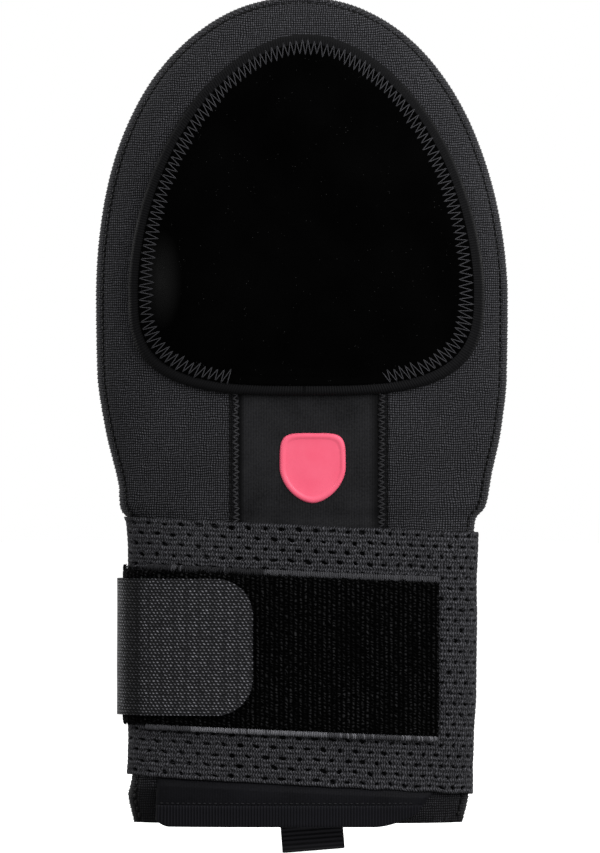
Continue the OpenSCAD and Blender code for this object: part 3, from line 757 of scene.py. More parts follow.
edge_path, edge_s = outline(0.75)
tangent = np.gradient(edge_path, axis=0)
tangent /= np.linalg.norm(tangent, axis=1, keepdims=True)
away = np.stack([-tangent[:, 1], tangent[:, 0]], -1)
away *= np.sign((away * (edge_path - [0, 150])).sum(1, keepdims=True))
ring = np.linspace(0, 2 * math.pi, 15)[:-1]
wobble = np.array([noise.noise(Vector((s / 2.3, 0, 4))) for s in edge_s]) * 0.1
whip = 0.1 * np.cos(2 * math.pi * edge_s / 1.45)
radius = 0.98 + wobble + whip
px = edge_path[:, None, 0] + away[:, None, 0] * radius[:, None] * np.cos(ring)[None]
pz = edge_path[:, None, 1] + away[:, None, 1] * radius[:, None] * np.cos(ring)[None]
py = 1.95 * np.sin(ring)[None] * (radius[:, None] / 0.98)
roll = np.stack([px, py, pz], -1)
n_ring = len(ring)
verts = roll.reshape(-1, 3)
i, j = np.meshgrid(np.arange(len(edge_path) - 1), np.arange(n_ring), indexing="ij")
k = (j + 1) % n_ring
faces = np.stack([i * n_ring + j, i * n_ring + k, (i + 1) * n_ring + k, (i + 1) * n_ring + j], -1)
faces = faces.reshape(-1, 4).tolist()
faces += [list(range(n_ring)), [(len(edge_path) - 1) * n_ring + q for q in range(n_ring)]]
cloth = np.stack(np.broadcast_arrays(edge_s[:, None], ring[None], 0.0), -1).reshape(-1, 3)
piping = outward(new_object("seam_piping_roll", verts, faces, cloth))
wear(piping, PIPING, "mitt", ["seam_piping"])

# overlock threads round the roll
paths = []
s_total = edge_s[-1]
for s in np.arange(1.0, s_total - 1, 1.45):
    c = np.array([np.interp(s, edge_s, edge_path[:, q]) for q in (0, 1)])
    a = np.array([np.interp(s, edge_s, away[:, q]) for q in (0, 1)])
    t = np.array([-a[1], a[0]])
    th = np.linspace(math.radians(-108), math.radians(108), 9)
    lean = 0.25 * th / th[-1]
    x = c[0] + a[0] * 1.08 * np.cos(th) + t[0] * lean
    z = c[1] + a[1] * 1.08 * np.cos(th) + t[1] * lean
    paths.append(np.stack([x, 2.08 * np.sin(th), z], -1))
wear(tubes("overlock_thread", paths, 0.17, 5), DIM_THREAD, "mitt")

# lock stitching just inside the roll, on both sides
for side, label in ((FRONT, "palm"), (BACK, "back")):
    line, line_s = outline(2.25)
    paths = []
    for s in np.arange(2.0, line_s[-1] - 2, 2.3):
        q = np.linspace(s, s + 1.5, 6)
        x, z = np.interp(q, line_s, line[:, 0]), np.interp(q, line_s, line[:, 1])
        y = body_y(x, z, 0.0, side)
        sink = 0.5 + 0.5 * np.abs(np.linspace(-1, 1, 6)) ** 3
        reach = np.clip(np.abs(y) - SEAM_Y, 0, 3) / 3
        paths.append(np.stack([x, y - side * sink * reach, z], -1))
    obj = tubes("edge_stitch_" + label, paths, 0.5, 6)
    wear(obj, BLACK_THREAD, "mitt", ["seam_stitching"] if side == FRONT else ())

# ------------------------------------------------------------------ palm pad

PAD_X, PAD_Z, PAD_W, PAD_UP, PAD_DOWN = 1.8, 188.0, 62.0, 89.5, 36.8
PAD_MID = 205.0


def pad_outline(a, inset):
    """Points (x, z) of the pad's outline, drawn in by inset, at angles a (0 = right, 90 degrees = top)."""
    s, c = np.sin(a), np.cos(a)
    n = np.where(s >= 0, 1.85, 3.2)
    reach = np.where(s >= 0, PAD_UP, PAD_DOWN) - inset
    return (PAD_X + (PAD_W - inset) * np.sign(c) * np.abs(c) ** (2 / n),
            PAD_Z + reach * np.sign(s) * np.abs(s) ** (2 / n))


def even_angles(n, inset):
    """n angles round the pad that are evenly spaced along its outline."""
    a = np.linspace(-math.pi / 2, 3 * math.pi / 2, 4001)
    x, z = pad_outline(a, inset)
    s = np.concatenate([[0], np.cumsum(np.hypot(np.diff(x), np.diff(z)))])
    return np.interp(np.linspace(0, s[-1], n, endpoint=False), s, a), s[-1]


pad_angles, pad_length = even_angles(440, 3.0)


def pad_rings(insets, height):
    """Grid of points (angle, inset) height mm above the palm side."""
    x, z = zip(*(pad_outline(pad_angles, i) for i in insets))
    x, z = np.stack(x, 1), np.stack(z, 1)
    return np.stack([x, body_y(x, z, -np.broadcast_to(height, x.shape), FRONT), z], -1)


# rim: a folded edge of smooth neoprene under the face
insets = np.array([0.0, 0.12, 0.4, 0.8, 1.3, 1.9, 2.6, 3.3, 4.0, 4.6])
height = np.array([0.55, 1.25, 1.95, 2.4, 2.62, 2.68, 2.6, 2.45, 2.3, 2.2])
s_pad = np.linspace(0, pad_length, 440, endpoint=False)
lip = np.exp(-(s_pad / 24) ** 2) + np.exp(-((s_pad - pad_length) / 24) ** 2)
lump = np.array([noise.fractal(Vector((math.cos(a) * 4, math.sin(a) * 4, 1)), 1, 2, 3) for a in pad_angles])
grid_h = height[None, :] * (1 + 0.05 * lump[:, None]) + 0.35 * lip[:, None] * np.exp(-insets / 3)[None, :]
rim_out = pad_rings(insets, grid_h)
rim_in = pad_rings(insets, np.full_like(grid_h, 0.12))
rim_cloth = np.stack(np.broadcast_arrays(s_pad[:, None], insets[None, :]), -1)
rim = shell("pad_rim_edging", rim_out, rim_in, rim_cloth, wrap=True)
wear(rim, RIM, "mitt", ["palm_pad_binding"])

# face: a stuffed panel; simulated with its sewn edge held
face_insets = np.array([3.45, 3.6, 3.9, 4.3, 5.0, 5.8, 6.6, 7.4, 8.4, 9.8, 11.8, 14.5])
shrink = np.array([0.86, 0.75, 0.62, 0.5, 0.38, 0.27, 0.17, 0.08])


def face_grid(angles, base):
    """Rings from the sewn edge to the middle; base gives each ring's height."""
    x, z = zip(*(pad_outline(angles, i) for i in face_insets))
    x, z = list(x), list(z)
    ex, ez = x[-1], z[-1]
    for f in shrink:
        x.append(PAD_X + (ex - PAD_X) * f)
        z.append(PAD_MID + (ez - PAD_MID) * f)
    x, z = np.stack(x, 1), np.stack(z, 1)
    return x, z, np.broadcast_to(base, x.shape)


face_base = np.array([2.45, 3.0, 3.25, 3.3, 3.2, 3.08, 3.12, 3.3, 3.6, 4.0, 4.4, 4.75,
                      5.0, 5.2, 5.35, 5.45, 5.5, 5.55, 5.6, 5.6])


def simulate_swell(angles_n=132):
    """How far a cloth with its edge sewn down swells under light pressure, at each ring and angle."""
    angles, _ = even_angles(angles_n, 3.0)
    x, z, h = face_grid(angles, face_base)
    rest = np.stack([x, body_y(x, z, -h, FRONT), z], -1)
    rows_n, cols_n = rest.shape[:2]
    centre = np.array([[PAD_X, float(body_y(np.array(PAD_X), np.array(PAD_MID), -5.6, FRONT)), PAD_MID]])
    ids = np.arange(rows_n * cols_n).reshape(rows_n, cols_n)
    nxt = np.roll(ids, -1, axis=0)
    faces = np.stack([ids[:, :-1], ids[:, 1:], nxt[:, 1:], nxt[:, :-1]], -1).reshape(-1, 4).tolist()
    faces += [[a, b, rows_n * cols_n] for a, b in zip(ids[:, -1], nxt[:, -1])]
    obj = new_object("pad_swell", np.concatenate([rest.reshape(-1, 3), centre]), faces)
    pin = obj.vertex_groups.new(name="sewn")
    pin.add(ids[:, :8].ravel().tolist(), 1.0, "REPLACE")
    mod = obj.modifiers.new("swell", "CLOTH")
    c = mod.settings
    c.quality = 4
    c.mass = 0.3
    c.use_pressure = True
    c.uniform_pressure_force = 3.0
    c.tension_stiffness = c.compression_stiffness = 12
    c.shear_stiffness = 6
    c.bending_stiffness = 0.6
    c.vertex_group_mass = "sewn"
    c.effector_weights.gravity = 0
    mod.collision_settings.use_collision = False
    scene = bpy.context.scene
    for f in range(1, 17):
        scene.frame_set(f)
    bake(obj)
    moved = np.array([v.co for v in obj.data.vertices]) / MM
    scene.frame_set(1)
    bpy.data.objects.remove(obj)
    swell = np.clip(rest.reshape(-1, 3)[:, 1] - moved[:-1, 1], -0.6, 1.5).reshape(rows_n, cols_n)
    return swell


swell = simulate_swell()
at = np.linspace(0, 132, 440, endpoint=False)
swell = np.stack([np.interp(at, np.arange(133), np.append(col, col[0])) for col in swell.T], -1)
x, z, h = face_grid(pad_angles, face_base)
h = h + swell + fbm(x, z, np.full_like(x, 3.0), 22.0, 2) * 0.35 * np.clip((face_base - 3.1) / 1.5, 0, 1)


def finer(grid, k=3):
    """More rings between the given ones, on a smooth curve through them."""
    g = np.concatenate([2 * grid[:, :1] - grid[:, 1:2], grid, 2 * grid[:, -1:] - grid[:, -2:-1]], 1)
    out = []
    for i in range(1, g.shape[1] - 2):
        p0, p1, p2, p3 = g[:, i - 1], g[:, i], g[:, i + 1], g[:, i + 2]
        for f in np.linspace(0, 1, k, endpoint=False):
            out.append(0.5 * (2 * p1 + (p2 - p0) * f + (2 * p0 - 5 * p1 + 4 * p2 - p3) * f ** 2
                              + (3 * p1 - p0 - 3 * p2 + p3) * f ** 3))
    out.append(g[:, -2])
    return np.stack(out, 1)


x, z, h = finer(x), finer(z), finer(h)
face_out = np.stack([x, body_y(x, z, -h, FRONT), z], -1)
face_in = np.stack([x, body_y(x, z, -np.minimum(h - 0.6, 2.3), FRONT), z], -1)
face = disc("pad_face_velour", face_out, face_in, np.stack([x, z], -1))
wear(face, VELOUR, "mitt", ["palm_pad_cover", "palm_pad_foam", "palm_pad_base"])

# zigzag over the edge of the face; it stops where the pad's lower edge is left open
on_pad = surface_of(face, rim)


def zigzag(points_out, points_in, lift_mm, steps=5, at=None):
    """A thread that crosses back and forth between two rows of needle holes (x, z)."""
    corners = [p for pair in zip(points_out, points_in) for p in pair]
    path = []
    for a, b in zip(corners[:-1], corners[1:]):
        for f in np.linspace(0, 1, steps, endpoint=False):
            x, z = a[0] + (b[0] - a[0]) * f, a[1] + (b[1] - a[1]) * f
            rise_mm = lift_mm * math.sin(math.pi * f) ** 0.5 - 0.16
            path.append((x, at(x, z) - rise_mm, z))
    return path


start, stop = math.radians(-73.5), math.radians(253)
fine = np.linspace(stop, start, 6000)
ox, oz = pad_outline(fine, 6.0)
length = np.concatenate([[0], np.cumsum(np.hypot(np.diff(ox), np.diff(oz)))])
stitches = []
s = 0.0
while s < length[-1]:
    stitches.append(s)
    a = float(np.interp(s, length, fine))
    s += 2.35 - 0.35 * max(0.0, math.sin(a)) ** 3 + rng.uniform(-0.28, 0.28)
outer_row, inner_row = [], []
for s, nxt_s in zip(stitches[:-1], stitches[1:]):
    a = float(np.interp(s, length, fine))
    b = float(np.interp((s + nxt_s) / 2, length, fine))
    mid_inset = 5.3 + 0.9 * abs(math.cos(a)) - 0.7 * max(0.0, math.sin(a)) ** 4
    wide = 2.5 + rng.uniform(-0.4, 0.4)
    outer_row.append(np.array(pad_outline(np.array(a), mid_inset - wide)))
    inner_row.append(np.array(pad_outline(np.array(b), mid_inset + wide + rng.uniform(-0.2, 0.2))))
pad_zigzag = tubes("pad_zigzag_thread", [zigzag(outer_row, inner_row, 0.5, 6, on_pad)], 0.17, 6)
wear(pad_zigzag, PAD_THREAD, "mitt", ["palm_pad_stitching"])

# ------------------------------------------------------------------ gusset seams and badge

on_panel = surface_of(front_cover, gusset)


def row_down(x, z0, z1, pitch, amp):
    left, right = [], []
    z = z0
    while z > z1:
        step = pitch * rng.uniform(0.93, 1.07)
        left.append((x - amp + rng.uniform(-0.3, 0.3), z))
        right.append((x + amp + rng.uniform(-0.3, 0.3), z - step * rng.uniform(0.3, 0.6)))
        z -= step
    return left, right


paths = []
for x, amp, pitch in ((-22.6, 0.95, 1.9), (28.2, 1.15, 1.9)):
    left, right = row_down(x, 154, 101, pitch, amp)
    paths.append(zigzag(left, right, 0.34, 5, on_panel))
wear(tubes("gusset_zigzag_thread", paths, 0.31, 5), SEAM_THREAD, "mitt", ["gusset_stitching"])
paths = []
for x in (-24.6, 30.4):
    z = 154.0
    while z > 101:
        q = np.linspace(z, z - 1.9, 6)
        y = np.array([on_panel(x, v) for v in q]) - 0.12 + 0.4 * np.abs(np.linspace(-1, 1, 6)) ** 3
        paths.append(np.stack([np.full(6, x), y, q], -1))
        z -= 2.6
wear(tubes("gusset_lock_thread", paths, 0.3, 5), BLACK_THREAD, "mitt")

# badge: a plain shield with a raised border
box = [np.array(p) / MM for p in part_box("badge")]
cx, cz = (box[0][0] + box[1][0]) / 2, (box[0][2] + box[1][2]) / 2
hw, hh = (box[1][0] - box[0][0]) / 2, (box[1][2] - box[0][2]) / 2


def shield(n=160):
    pts = []
    for a in np.linspace(0, 2 * math.pi, n, endpoint=False):
        c, s_ = math.cos(a), math.sin(a)
        power = 5.0 if s_ > 0 else 1.75
        r = (abs(c) ** power + abs(s_) ** power) ** (-1 / power)
        pts.append((c * r, s_ * r))
    return np.array(pts)


unit = shield()
scales = np.array([1.0, 0.985, 0.955, 0.91, 0.865, 0.84, 0.8, 0.5, 0.2])
rises = np.array([0.15, 0.55, 0.85, 0.92, 0.85, 0.62, 0.55, 0.6, 0.62])
x = cx + unit[:, None, 0] * hw * scales[None]
z = cz + unit[:, None, 1] * hh * scales[None]
base_y = body_y(x, z, 0.2, FRONT)
badge = disc("shield_badge", np.stack([x, base_y - rises[None], z], -1),
             np.stack([x, base_y + 0.35, z], -1), np.stack([x, z], -1))
wear(badge, PINK, "mitt", ["badge"])

# ------------------------------------------------------------------ the wrist's cross-section, unrolled

PSI = np.radians(np.linspace(-140, 262, 8001))


def section(psi, t):
    """Point of the wrist's outline at angle psi (0 = palm side, 90 degrees = right) and depth t."""
    w, d = WRIST_W - t, WRIST_D - t - SEAM_Y
    c, s_ = np.cos(psi), np.sin(psi)
    y = -np.sign(c) * (SEAM_Y * np.minimum(1, np.abs(c) / 0.06)
                       + d * np.maximum(1 - np.abs(s_) ** 2.6, 0) ** 0.42)
    return w * s_, y


sx, sy = section(PSI, -1.2)
SECTION_S = np.concatenate([[0], np.cumsum(np.hypot(np.diff(sx), np.diff(sy)))])
SECTION_S -= np.interp(0, PSI, SECTION_S)


def s_at(x, back=False):
    """Distance round the wrist from the middle of the palm side to x."""
    psi = math.asin(x / (WRIST_W + 1.2))
    return float(np.interp(math.pi - psi if back else psi, PSI, SECTION_S))


def s_left(x):
    """The same, going left round to x on the back."""
    return float(np.interp(-math.pi - math.asin(max(-1.0, x / (WRIST_W + 3))), PSI, SECTION_S))


def wrap(s, z, h):
    """Points at distance s round the wrist, height z, and h mm out from the cover."""
    x, y = section(np.interp(s, SECTION_S, PSI), -np.asarray(h, float))
    return np.stack(np.broadcast_arrays(x, y, z), -1)


SLANT = math.tan(math.radians(2.6))
STRAP_MID, STRAP_H, STRAP_T = 61.2, 90.0, 1.8
FLAP_HINGE = -4.0
TAB_HINGE = -50.0
HOOK_MID, HOOK_H = 63.6, 47.6

s_start = s_left(-57.0)
s_cut = s_at(0.0, back=True)
s_flap_end = s_at(TAB_HINGE + 0.5, back=True)
CELL, ROW = 5.9, 3.6


def strap_template():
    """One cell of the elastic: rings of points round a small oval hole, as (across, up) shares."""
    ring_n = 16
    a = np.linspace(0, 2 * math.pi, ring_n, endpoint=False) + math.pi / 4
    rect = []
    for k in range(ring_n):
        side, f = divmod(k, 4)
        f = f / 4
        rect.append([(0.5 - f, 0.5), (-0.5, 0.5 - f), (-0.5 + f, -0.5), (0.5, -0.5 + f)][side])
    rect = np.array(rect)
    hole = np.stack([0.2 * np.cos(a), 0.19 * np.sin(a)], -1)
    lip = np.stack([0.265 * np.cos(a), 0.28 * np.sin(a)], -1)
    mid = 0.45 * rect + 0.55 * np.stack([0.38 * np.cos(a), 0.4 * np.sin(a)], -1)
    return [hole, lip, mid, rect], ring_n


def strap_mesh(name, s0, s1, inner_h, outer_h, drop):
    """Elastic from s0 to s1 with staggered rows of holes; drop(s) gives its mid height and width."""
    rings, n = strap_template()
    rows_n = int(round(STRAP_H / ROW))
    fine = np.linspace(s0, s1, 2000)
    tight = np.clip((fine + 5) / 50, 0, 1)
    cell = CELL * (1 - 0.24 * tight ** 2 * (3 - 2 * tight))
    share = np.concatenate([[0], np.cumsum(1 / cell)]) * (s1 - s0) / 1999
    cells = max(1, int(round(share[-1])))
    share = share[:-1] / share[-2] * cells
    points, faces, depth = [], [], []
    for r in range(rows_n):
        shift = 0.5 * (r % 2)
        for c in range(-1 if shift else 0, cells):
            cs = c + 0.5 + shift
            lo, hi = max(cs - 0.5, 0), min(cs + 0.5, cells)
            if hi - lo < 0.4:
                continue
            half = hi - lo < 0.9
            base = len(points)
            if half:
                for u in (lo, (lo + hi) / 2, hi):
                    for v in (-0.5, -0.25, 0, 0.25, 0.5):
                        points.append((u, r + 0.5 + v))
                        depth.append(0.0)
                for p in range(2):
                    for q in range(4):
                        a = base + p * 5 + q
                        faces.append([a, a + 5, a + 6, a + 1])
                continue
            squash = rng.uniform(0.6, 1.2)
            skew, narrow = rng.uniform(-0.55, 0.25), rng.uniform(0.7, 1.2)
            jig = (rng.uniform(-0.05, 0.05), rng.uniform(-0.06, 0.06))
            for level, ring_pts in enumerate(rings):
                f = (1.0, 1.0, 0.5, 0.0)[level]
                for u, v in ring_pts:
                    k, n_ = (squash, narrow) if level < 2 else (1, 1)
                    points.append((cs + u * n_ + jig[0] * f,
                                   r + 0.5 + v * k + skew * u * (level < 2) + jig[1] * f))
                    depth.append((-0.45, -0.1, 0.12, 0.0)[level])
            for level in range(3):
                for k in range(n):
                    k2 = (k + 1) % n
                    a = base + level * n
                    faces.append([a + k, a + k2, a + n + k2, a + n + k])
    pts = np.array(points)
    s = np.interp(pts[:, 0], share, fine)
    v = pts[:, 1] / rows_n - 0.5
    mid, tall = drop(s)
    ribs = np.array(depth)
    drift = np.array([noise.noise(Vector((q / 7, 0, 2 if w > 0 else 6))) for q, w in zip(s, v)])
    z = mid + v * tall + 0.35 * drift * (np.abs(v) * 2) ** 4
    soft = np.array([noise.fractal(Vector((q / 19, w / 12, 3)), 1, 2, 2) for q, w in zip(s, z)])
    bulge = -0.06 * np.cos(4 * math.pi * pts[:, 1]) + 0.25 * soft
    out = wrap(s, z, np.clip(outer_h - 0.25 + ribs + bulge, inner_h + 0.5, outer_h + 0.35))
    inn = wrap(s, z, np.full_like(s, inner_h))
    cloth = np.column_stack([s, v * STRAP_H, np.zeros_like(s)])
    out, inn = settle(out), settle(inn)
    bm = bmesh.new()
    layer = bm.verts.layers.float_vector.new("cloth")
    tops = [bm.verts.new(p * MM) for p in out]
    for vert, c in zip(tops, cloth):
        vert[layer] = c
    for f in faces:
        bm.faces.new([tops[i] for i in f])
    pos = {vert: Vector(p * MM) for vert, p in zip(tops, inn)}
    bmesh.ops.remove_doubles(bm, verts=bm.verts, dist=0.00004)
    keep = list(bm.verts)
    top_faces = list(bm.faces)
    copies = {vert: bm.verts.new(pos[vert]) for vert in keep}
    for vert, twin in copies.items():
        twin[layer] = vert[layer]
    for f in top_faces:
        bm.faces.new([copies[q] for q in reversed(f.verts)])
    for e in [e for e in bm.edges if e.is_boundary and e.verts[0] in copies and e.verts[1] in copies]:
        a, b = e.verts
        bm.faces.new([a, b, copies[b], copies[a]])
    bmesh.ops.recalc_face_normals(bm, faces=bm.faces)
    mesh = bpy.data.meshes.new(name)
    bm.to_mesh(mesh)
    bm.free()
    mesh.shade_smooth()
    obj = bpy.data.objects.new(name, mesh)
    bpy.context.scene.collection.objects.link(obj)
    return obj


def strap_drop(s):
    psi = np.interp(s, SECTION_S, PSI)
    x, _ = section(psi, -1.2)
    more = np.interp(np.degrees(psi), [-90, 90, 100, 150], [0, 1.5, 1.5, 0])
    return STRAP_MID - x * SLANT - more / 2, STRAP_H + more


def flap_drop(s):
    """The free flap tapers to the hook tape."""
    x, _ = section(np.interp(s, SECTION_S, PSI), -1.2)
    f = np.clip((FLAP_HINGE - x) / (FLAP_HINGE - TAB_HINGE + 4), 0, 1)
    mid = (STRAP_MID - x * SLANT) * (1 - f) + HOOK_MID * f
    return mid, STRAP_H * (1 - f) + (HOOK_H + 8) * f


strap = strap_mesh("wrist_strap_elastic", s_start, s_cut, 0.25, 0.3 + STRAP_T, strap_drop)
wear(strap, ELASTIC, "mitt", ["wrist_strap"])
flap = strap_mesh("strap_flap_elastic", s_cut, s_flap_end, 0.25, 0.3 + STRAP_T, flap_drop)
wear(flap, ELASTIC, None, ["strap_flap"])
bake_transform(flap)

# anchor stitching: a box of stitches that holds the strap to the middle of the back


def dashes(points, length_mm, gap_mm, sink=0.12, lift_mm=0.1):
    """Stitches along a line of points on a surface, given with their outward normals."""
    p = np.array([q[0] for q in points], float)
    n = np.array([q[1] for q in points], float)
    s = np.concatenate([[0], np.cumsum(np.linalg.norm(np.diff(p, axis=0), axis=1))])
    out = []
    at_s = 0.3
    while at_s + length_mm < s[-1]:
        q = np.linspace(at_s, at_s + length_mm, 6)
        c = np.stack([np.interp(q, s, p[:, k]) for k in range(3)], -1)
        m = np.stack([np.interp(q, s, n[:, k]) for k in range(3)], -1)
        h = lift_mm - (sink + lift_mm) * np.abs(np.linspace(-1, 1, 6)) ** 3
        out.append(c + m * h[:, None])
        at_s += length_mm + gap_mm
    return out


def wrap_normal(s, z):
    a, b = wrap(s, z, 1.0), wrap(s, z, 2.0)
    n = b - a
    return n / np.linalg.norm(n)


top_h = 0.3 + STRAP_T + 0.12
corners = []
for x0, z_share0, x1, z_share1 in ((3, -0.36, 3, 0.36), (3, 0.36, 23, 0.36),
                                   (23, 0.36, 23, -0.36), (23, -0.36, 3, -0.36)):
    for f in np.linspace(0, 1, 24, endpoint=False):
        x = x0 + (x1 - x0) * f
        s = s_at(x, back=True)
        z = STRAP_MID - x * SLANT + STRAP_H * (z_share0 + (z_share1 - z_share0) * f)
        corners.append((wrap(s, z, top_h), wrap_normal(s, z)))
anchor = tubes("strap_anchor_thread", dashes(corners, 2.3, 0.8, 0.35, 0.12), 0.26, 6)
wear(anchor, GREY_THREAD, "mitt", ["strap_anchor_stitching"])

# ------------------------------------------------------------------ loop patch

PATCH_H, PATCH_END = 53.6, 46.8
p0, p1 = s_left(-60.5), s_at(PATCH_END)
ps = np.linspace(p0, p1, 300)
pv = np.linspace(-1, 1, 120)
ss, vv = np.meshgrid(ps, pv, indexing="ij")
xx, _ = section(np.interp(ss, SECTION_S, PSI), 0.0)
ragged = np.array([noise.noise(Vector((q / 1.7, w * 3, 1))) for q, w in zip(ss.ravel(), vv.ravel())])
ragged = 0.28 * ragged.reshape(ss.shape)
zz = STRAP_MID - xx * SLANT + vv * PATCH_H / 2 + ragged * (np.abs(vv) > 0.985)
pile = fbm(ss, zz, np.full_like(ss, 4.0), 1.3, 2) * 0.22 + fbm(ss, zz, np.full_like(ss, 7.0), 16.0, 2) * 0.2
rim_round = np.minimum(1, np.minimum((1 - np.abs(vv)) * PATCH_H / 2, np.minimum(ss - p0, p1 - ss)) / 1.2)
h_out = 3.75 + pile - 0.7 * (1 - rim_round) ** 2
patch = shell("loop_patch_pile", wrap(ss, zz, np.clip(h_out, 2.7, 4.05)),
              wrap(ss, zz, np.full_like(ss, 2.2)), np.stack([ss, zz], -1))
wear(patch, LOOP, "mitt", ["loop_patch"])

# fuzz along the patch's edges
paths = []
for sign in (-1, 1):
    for _ in range(520):
        s = rng.uniform(p0 + 1, p1 - 0.5)
        x = float(section(np.interp(s, SECTION_S, PSI), 0.0)[0])
        z = STRAP_MID - x * SLANT + sign * (PATCH_H / 2 - rng.uniform(0.0, 0.6))
        reach = rng.uniform(0.5, 1.5) * (1.35 if x < -15 else 0.8) * (1 if sign > 0 else 0.5)
        lean = rng.uniform(-0.9, 0.9)
        q = np.linspace(0, 1, 5)
        paths.append(wrap(s + lean * q ** 2, z + sign * reach * np.sin(q * 1.6),
                          3.2 - 0.5 * q ** 2 + rng.uniform(-0.3, 0.4)))
for _ in range(150):
    z_share = rng.uniform(-0.49, 0.49)
    x = PATCH_END
    z = STRAP_MID - x * SLANT + z_share * PATCH_H
    q = np.linspace(0, 1, 5)
    paths.append(wrap(p1 + rng.uniform(0.2, 0.8) * q, z + rng.uniform(-0.5, 0.5) * q, 3.1 - 0.5 * q ** 2))
fuzz = tubes("loop_patch_fuzz", paths, 0.1, 4)
wear(fuzz, LOOP, "mitt")

# whip stitching over a cord along the patch's top and bottom edges
lit_whip, half_lit_whip, dark = [], [], []
for sign in (-1, 1):
    s = s_at(-52.0)
    while s < s_at(PATCH_END) - 0.4:
        x = float(section(np.interp(s, SECTION_S, PSI), 0.0)[0])
        z = STRAP_MID - x * SLANT + sign * (PATCH_H / 2 + 0.3)
        q = np.linspace(-0.25, 1, 7)
        tall = (2.0 if sign > 0 else 1.6) + rng.uniform(-0.15, 0.15)
        arch = np.sqrt(np.maximum(0, 1 - (2 * (q + 0.25) / 1.25 - 1) ** 2))
        hump = 2.5 + (0.75 if sign > 0 else 1.25) * arch
        path = wrap(s + 0.25 * q, z + sign * tall * q, hump - 0.2)
        # painted light and shade: one thread gets lit, half-lit and shaded colours by where it sits along the
        # patch's edges, with a few picked at random
        if sign < 0:
            kind = lit_whip if -36 < x < 8 or (x > -36 and rng.random() < 0.25) else half_lit_whip
        else:
            kind = half_lit_whip if x > -12 else dark
        (kind if rng.random() < 0.96 else half_lit_whip).append(path)
        s += 0.6 + rng.uniform(-0.05, 0.05)
wear(tubes("patch_whip_thread", lit_whip, 0.27, 6), GREY_THREAD, "mitt",
     ["loop_patch_stitching"])
wear(tubes("patch_whip_thread_half_lit", half_lit_whip, 0.27, 6), DIM_THREAD, "mitt")
wear(tubes("patch_whip_thread_shaded", dark, 0.27, 6), DARK_THREAD, "mitt")

# ------------------------------------------------------------------ hook tape tab

HOOK_END = -15.6
t0, t1 = s_left(TAB_HINGE + 9), s_at(HOOK_END)
s_edge = float(np.interp(-math.pi / 2, PSI, SECTION_S))
s_hinge = s_left(TAB_HINGE)
END_S, END_Z = 12.0, 13.0


def tab_height(s):
    """Height of the tape's inner face over the cover: on the flap at its root, over the patch in front."""
    f = np.clip((s_edge - s) / (s_edge - s_hinge), 0, 1)
    return 4.72 - 2.5 * f ** 3


ts = np.concatenate([np.linspace(t0, t1 - END_S, 210, endpoint=False),
                     t1 - END_S * (1 - np.sin(np.linspace(0, math.pi / 2, 34)))])
rounding = np.clip(ts - (t1 - END_S), 0, END_S) / END_S
half = HOOK_H / 2 - END_Z + END_Z * np.sqrt(np.maximum(0, 1 - rounding ** 2))
tv = np.sin(np.linspace(-math.pi / 2, math.pi / 2, 90))
tv = 0.5 * tv + 0.5 * np.linspace(-1, 1, 90)
ss = np.broadcast_to(ts[:, None], (len(ts), len(tv)))
zz = HOOK_MID + half[:, None] * tv[None, :]
bow = fbm(ss, zz, np.full_like(zz, 6.0), 26.0, 2) * 0.22
inner_h = tab_height(ss)
# the band round the wrist where shade is painted on the hook tape
CREASE_SHADE = [float(np.interp(-math.acos(c), PSI, SECTION_S)) for c in (0.30, 0.48)]
HOOK_TAPE = hook_tape_material(CREASE_SHADE)
tab = shell("hook_tab_tape", wrap(ss, zz, inner_h + 1.02 + bow * 0.5),
            wrap(ss, zz, inner_h + 0.05 + bow * 0.5), np.stack([ss, zz], -1))
bevel(tab, 0.28)
wear(tab, HOOK_TAPE, None, ["hook_tab", "hook_tab_root"])
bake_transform(tab)

# hooks on its inner face
paths = []
row_i = 0
s = s_at(-43.0)
while s < t1 - 2.5:
    rounding = max(0, (s + 2 - (t1 - END_S)) / END_S)
    reach = HOOK_H / 2 - 2 - END_Z * (1 - math.sqrt(max(0, 1 - rounding ** 2)))
    z = -reach + 0.35 * (row_i % 2)
    while z < reach:
        q = np.linspace(0, 1, 6)
        bent = 0.28 * np.sin(q * 3.4) * (1 if row_i % 2 else -1)
        paths.append(wrap(s + bent, HOOK_MID + z, 4.72 - 0.42 * np.sin(q * 2.2)))
        z += 1.25
    s += 1.15
    row_i += 1
hooks = tubes("hook_field_hooks", paths, 0.1, 4)
wear(hooks, HOOKS, "hook_tab", ["hook_field"])

# two rows of stitches that hold the tape's root to the flap
lines = []
for x in (TAB_HINGE + 2.5, TAB_HINGE + 7.5):
    pts = []
    for z in np.linspace(HOOK_MID - 21, HOOK_MID + 21, 30):
        s = s_left(x)
        pts.append((wrap(s, z, float(tab_height(np.array(s))) + 1.12), wrap_normal(s, z)))
    lines += dashes(pts, 2.2, 0.8, 0.3, 0.08)
wear(tubes("tab_root_thread", lines, 0.24, 6), BLACK_THREAD, "strap_flap",
     ["hook_tab_stitching"])

# ------------------------------------------------------------------ cuff

TONGUE_X = (-50.0, 37.0)
TONGUE_LOW, EDGING_Z = 0.8, 8.4


def strap_low(x):
    return STRAP_MID - STRAP_H / 2 / math.cos(math.radians(2.6)) - x * SLANT


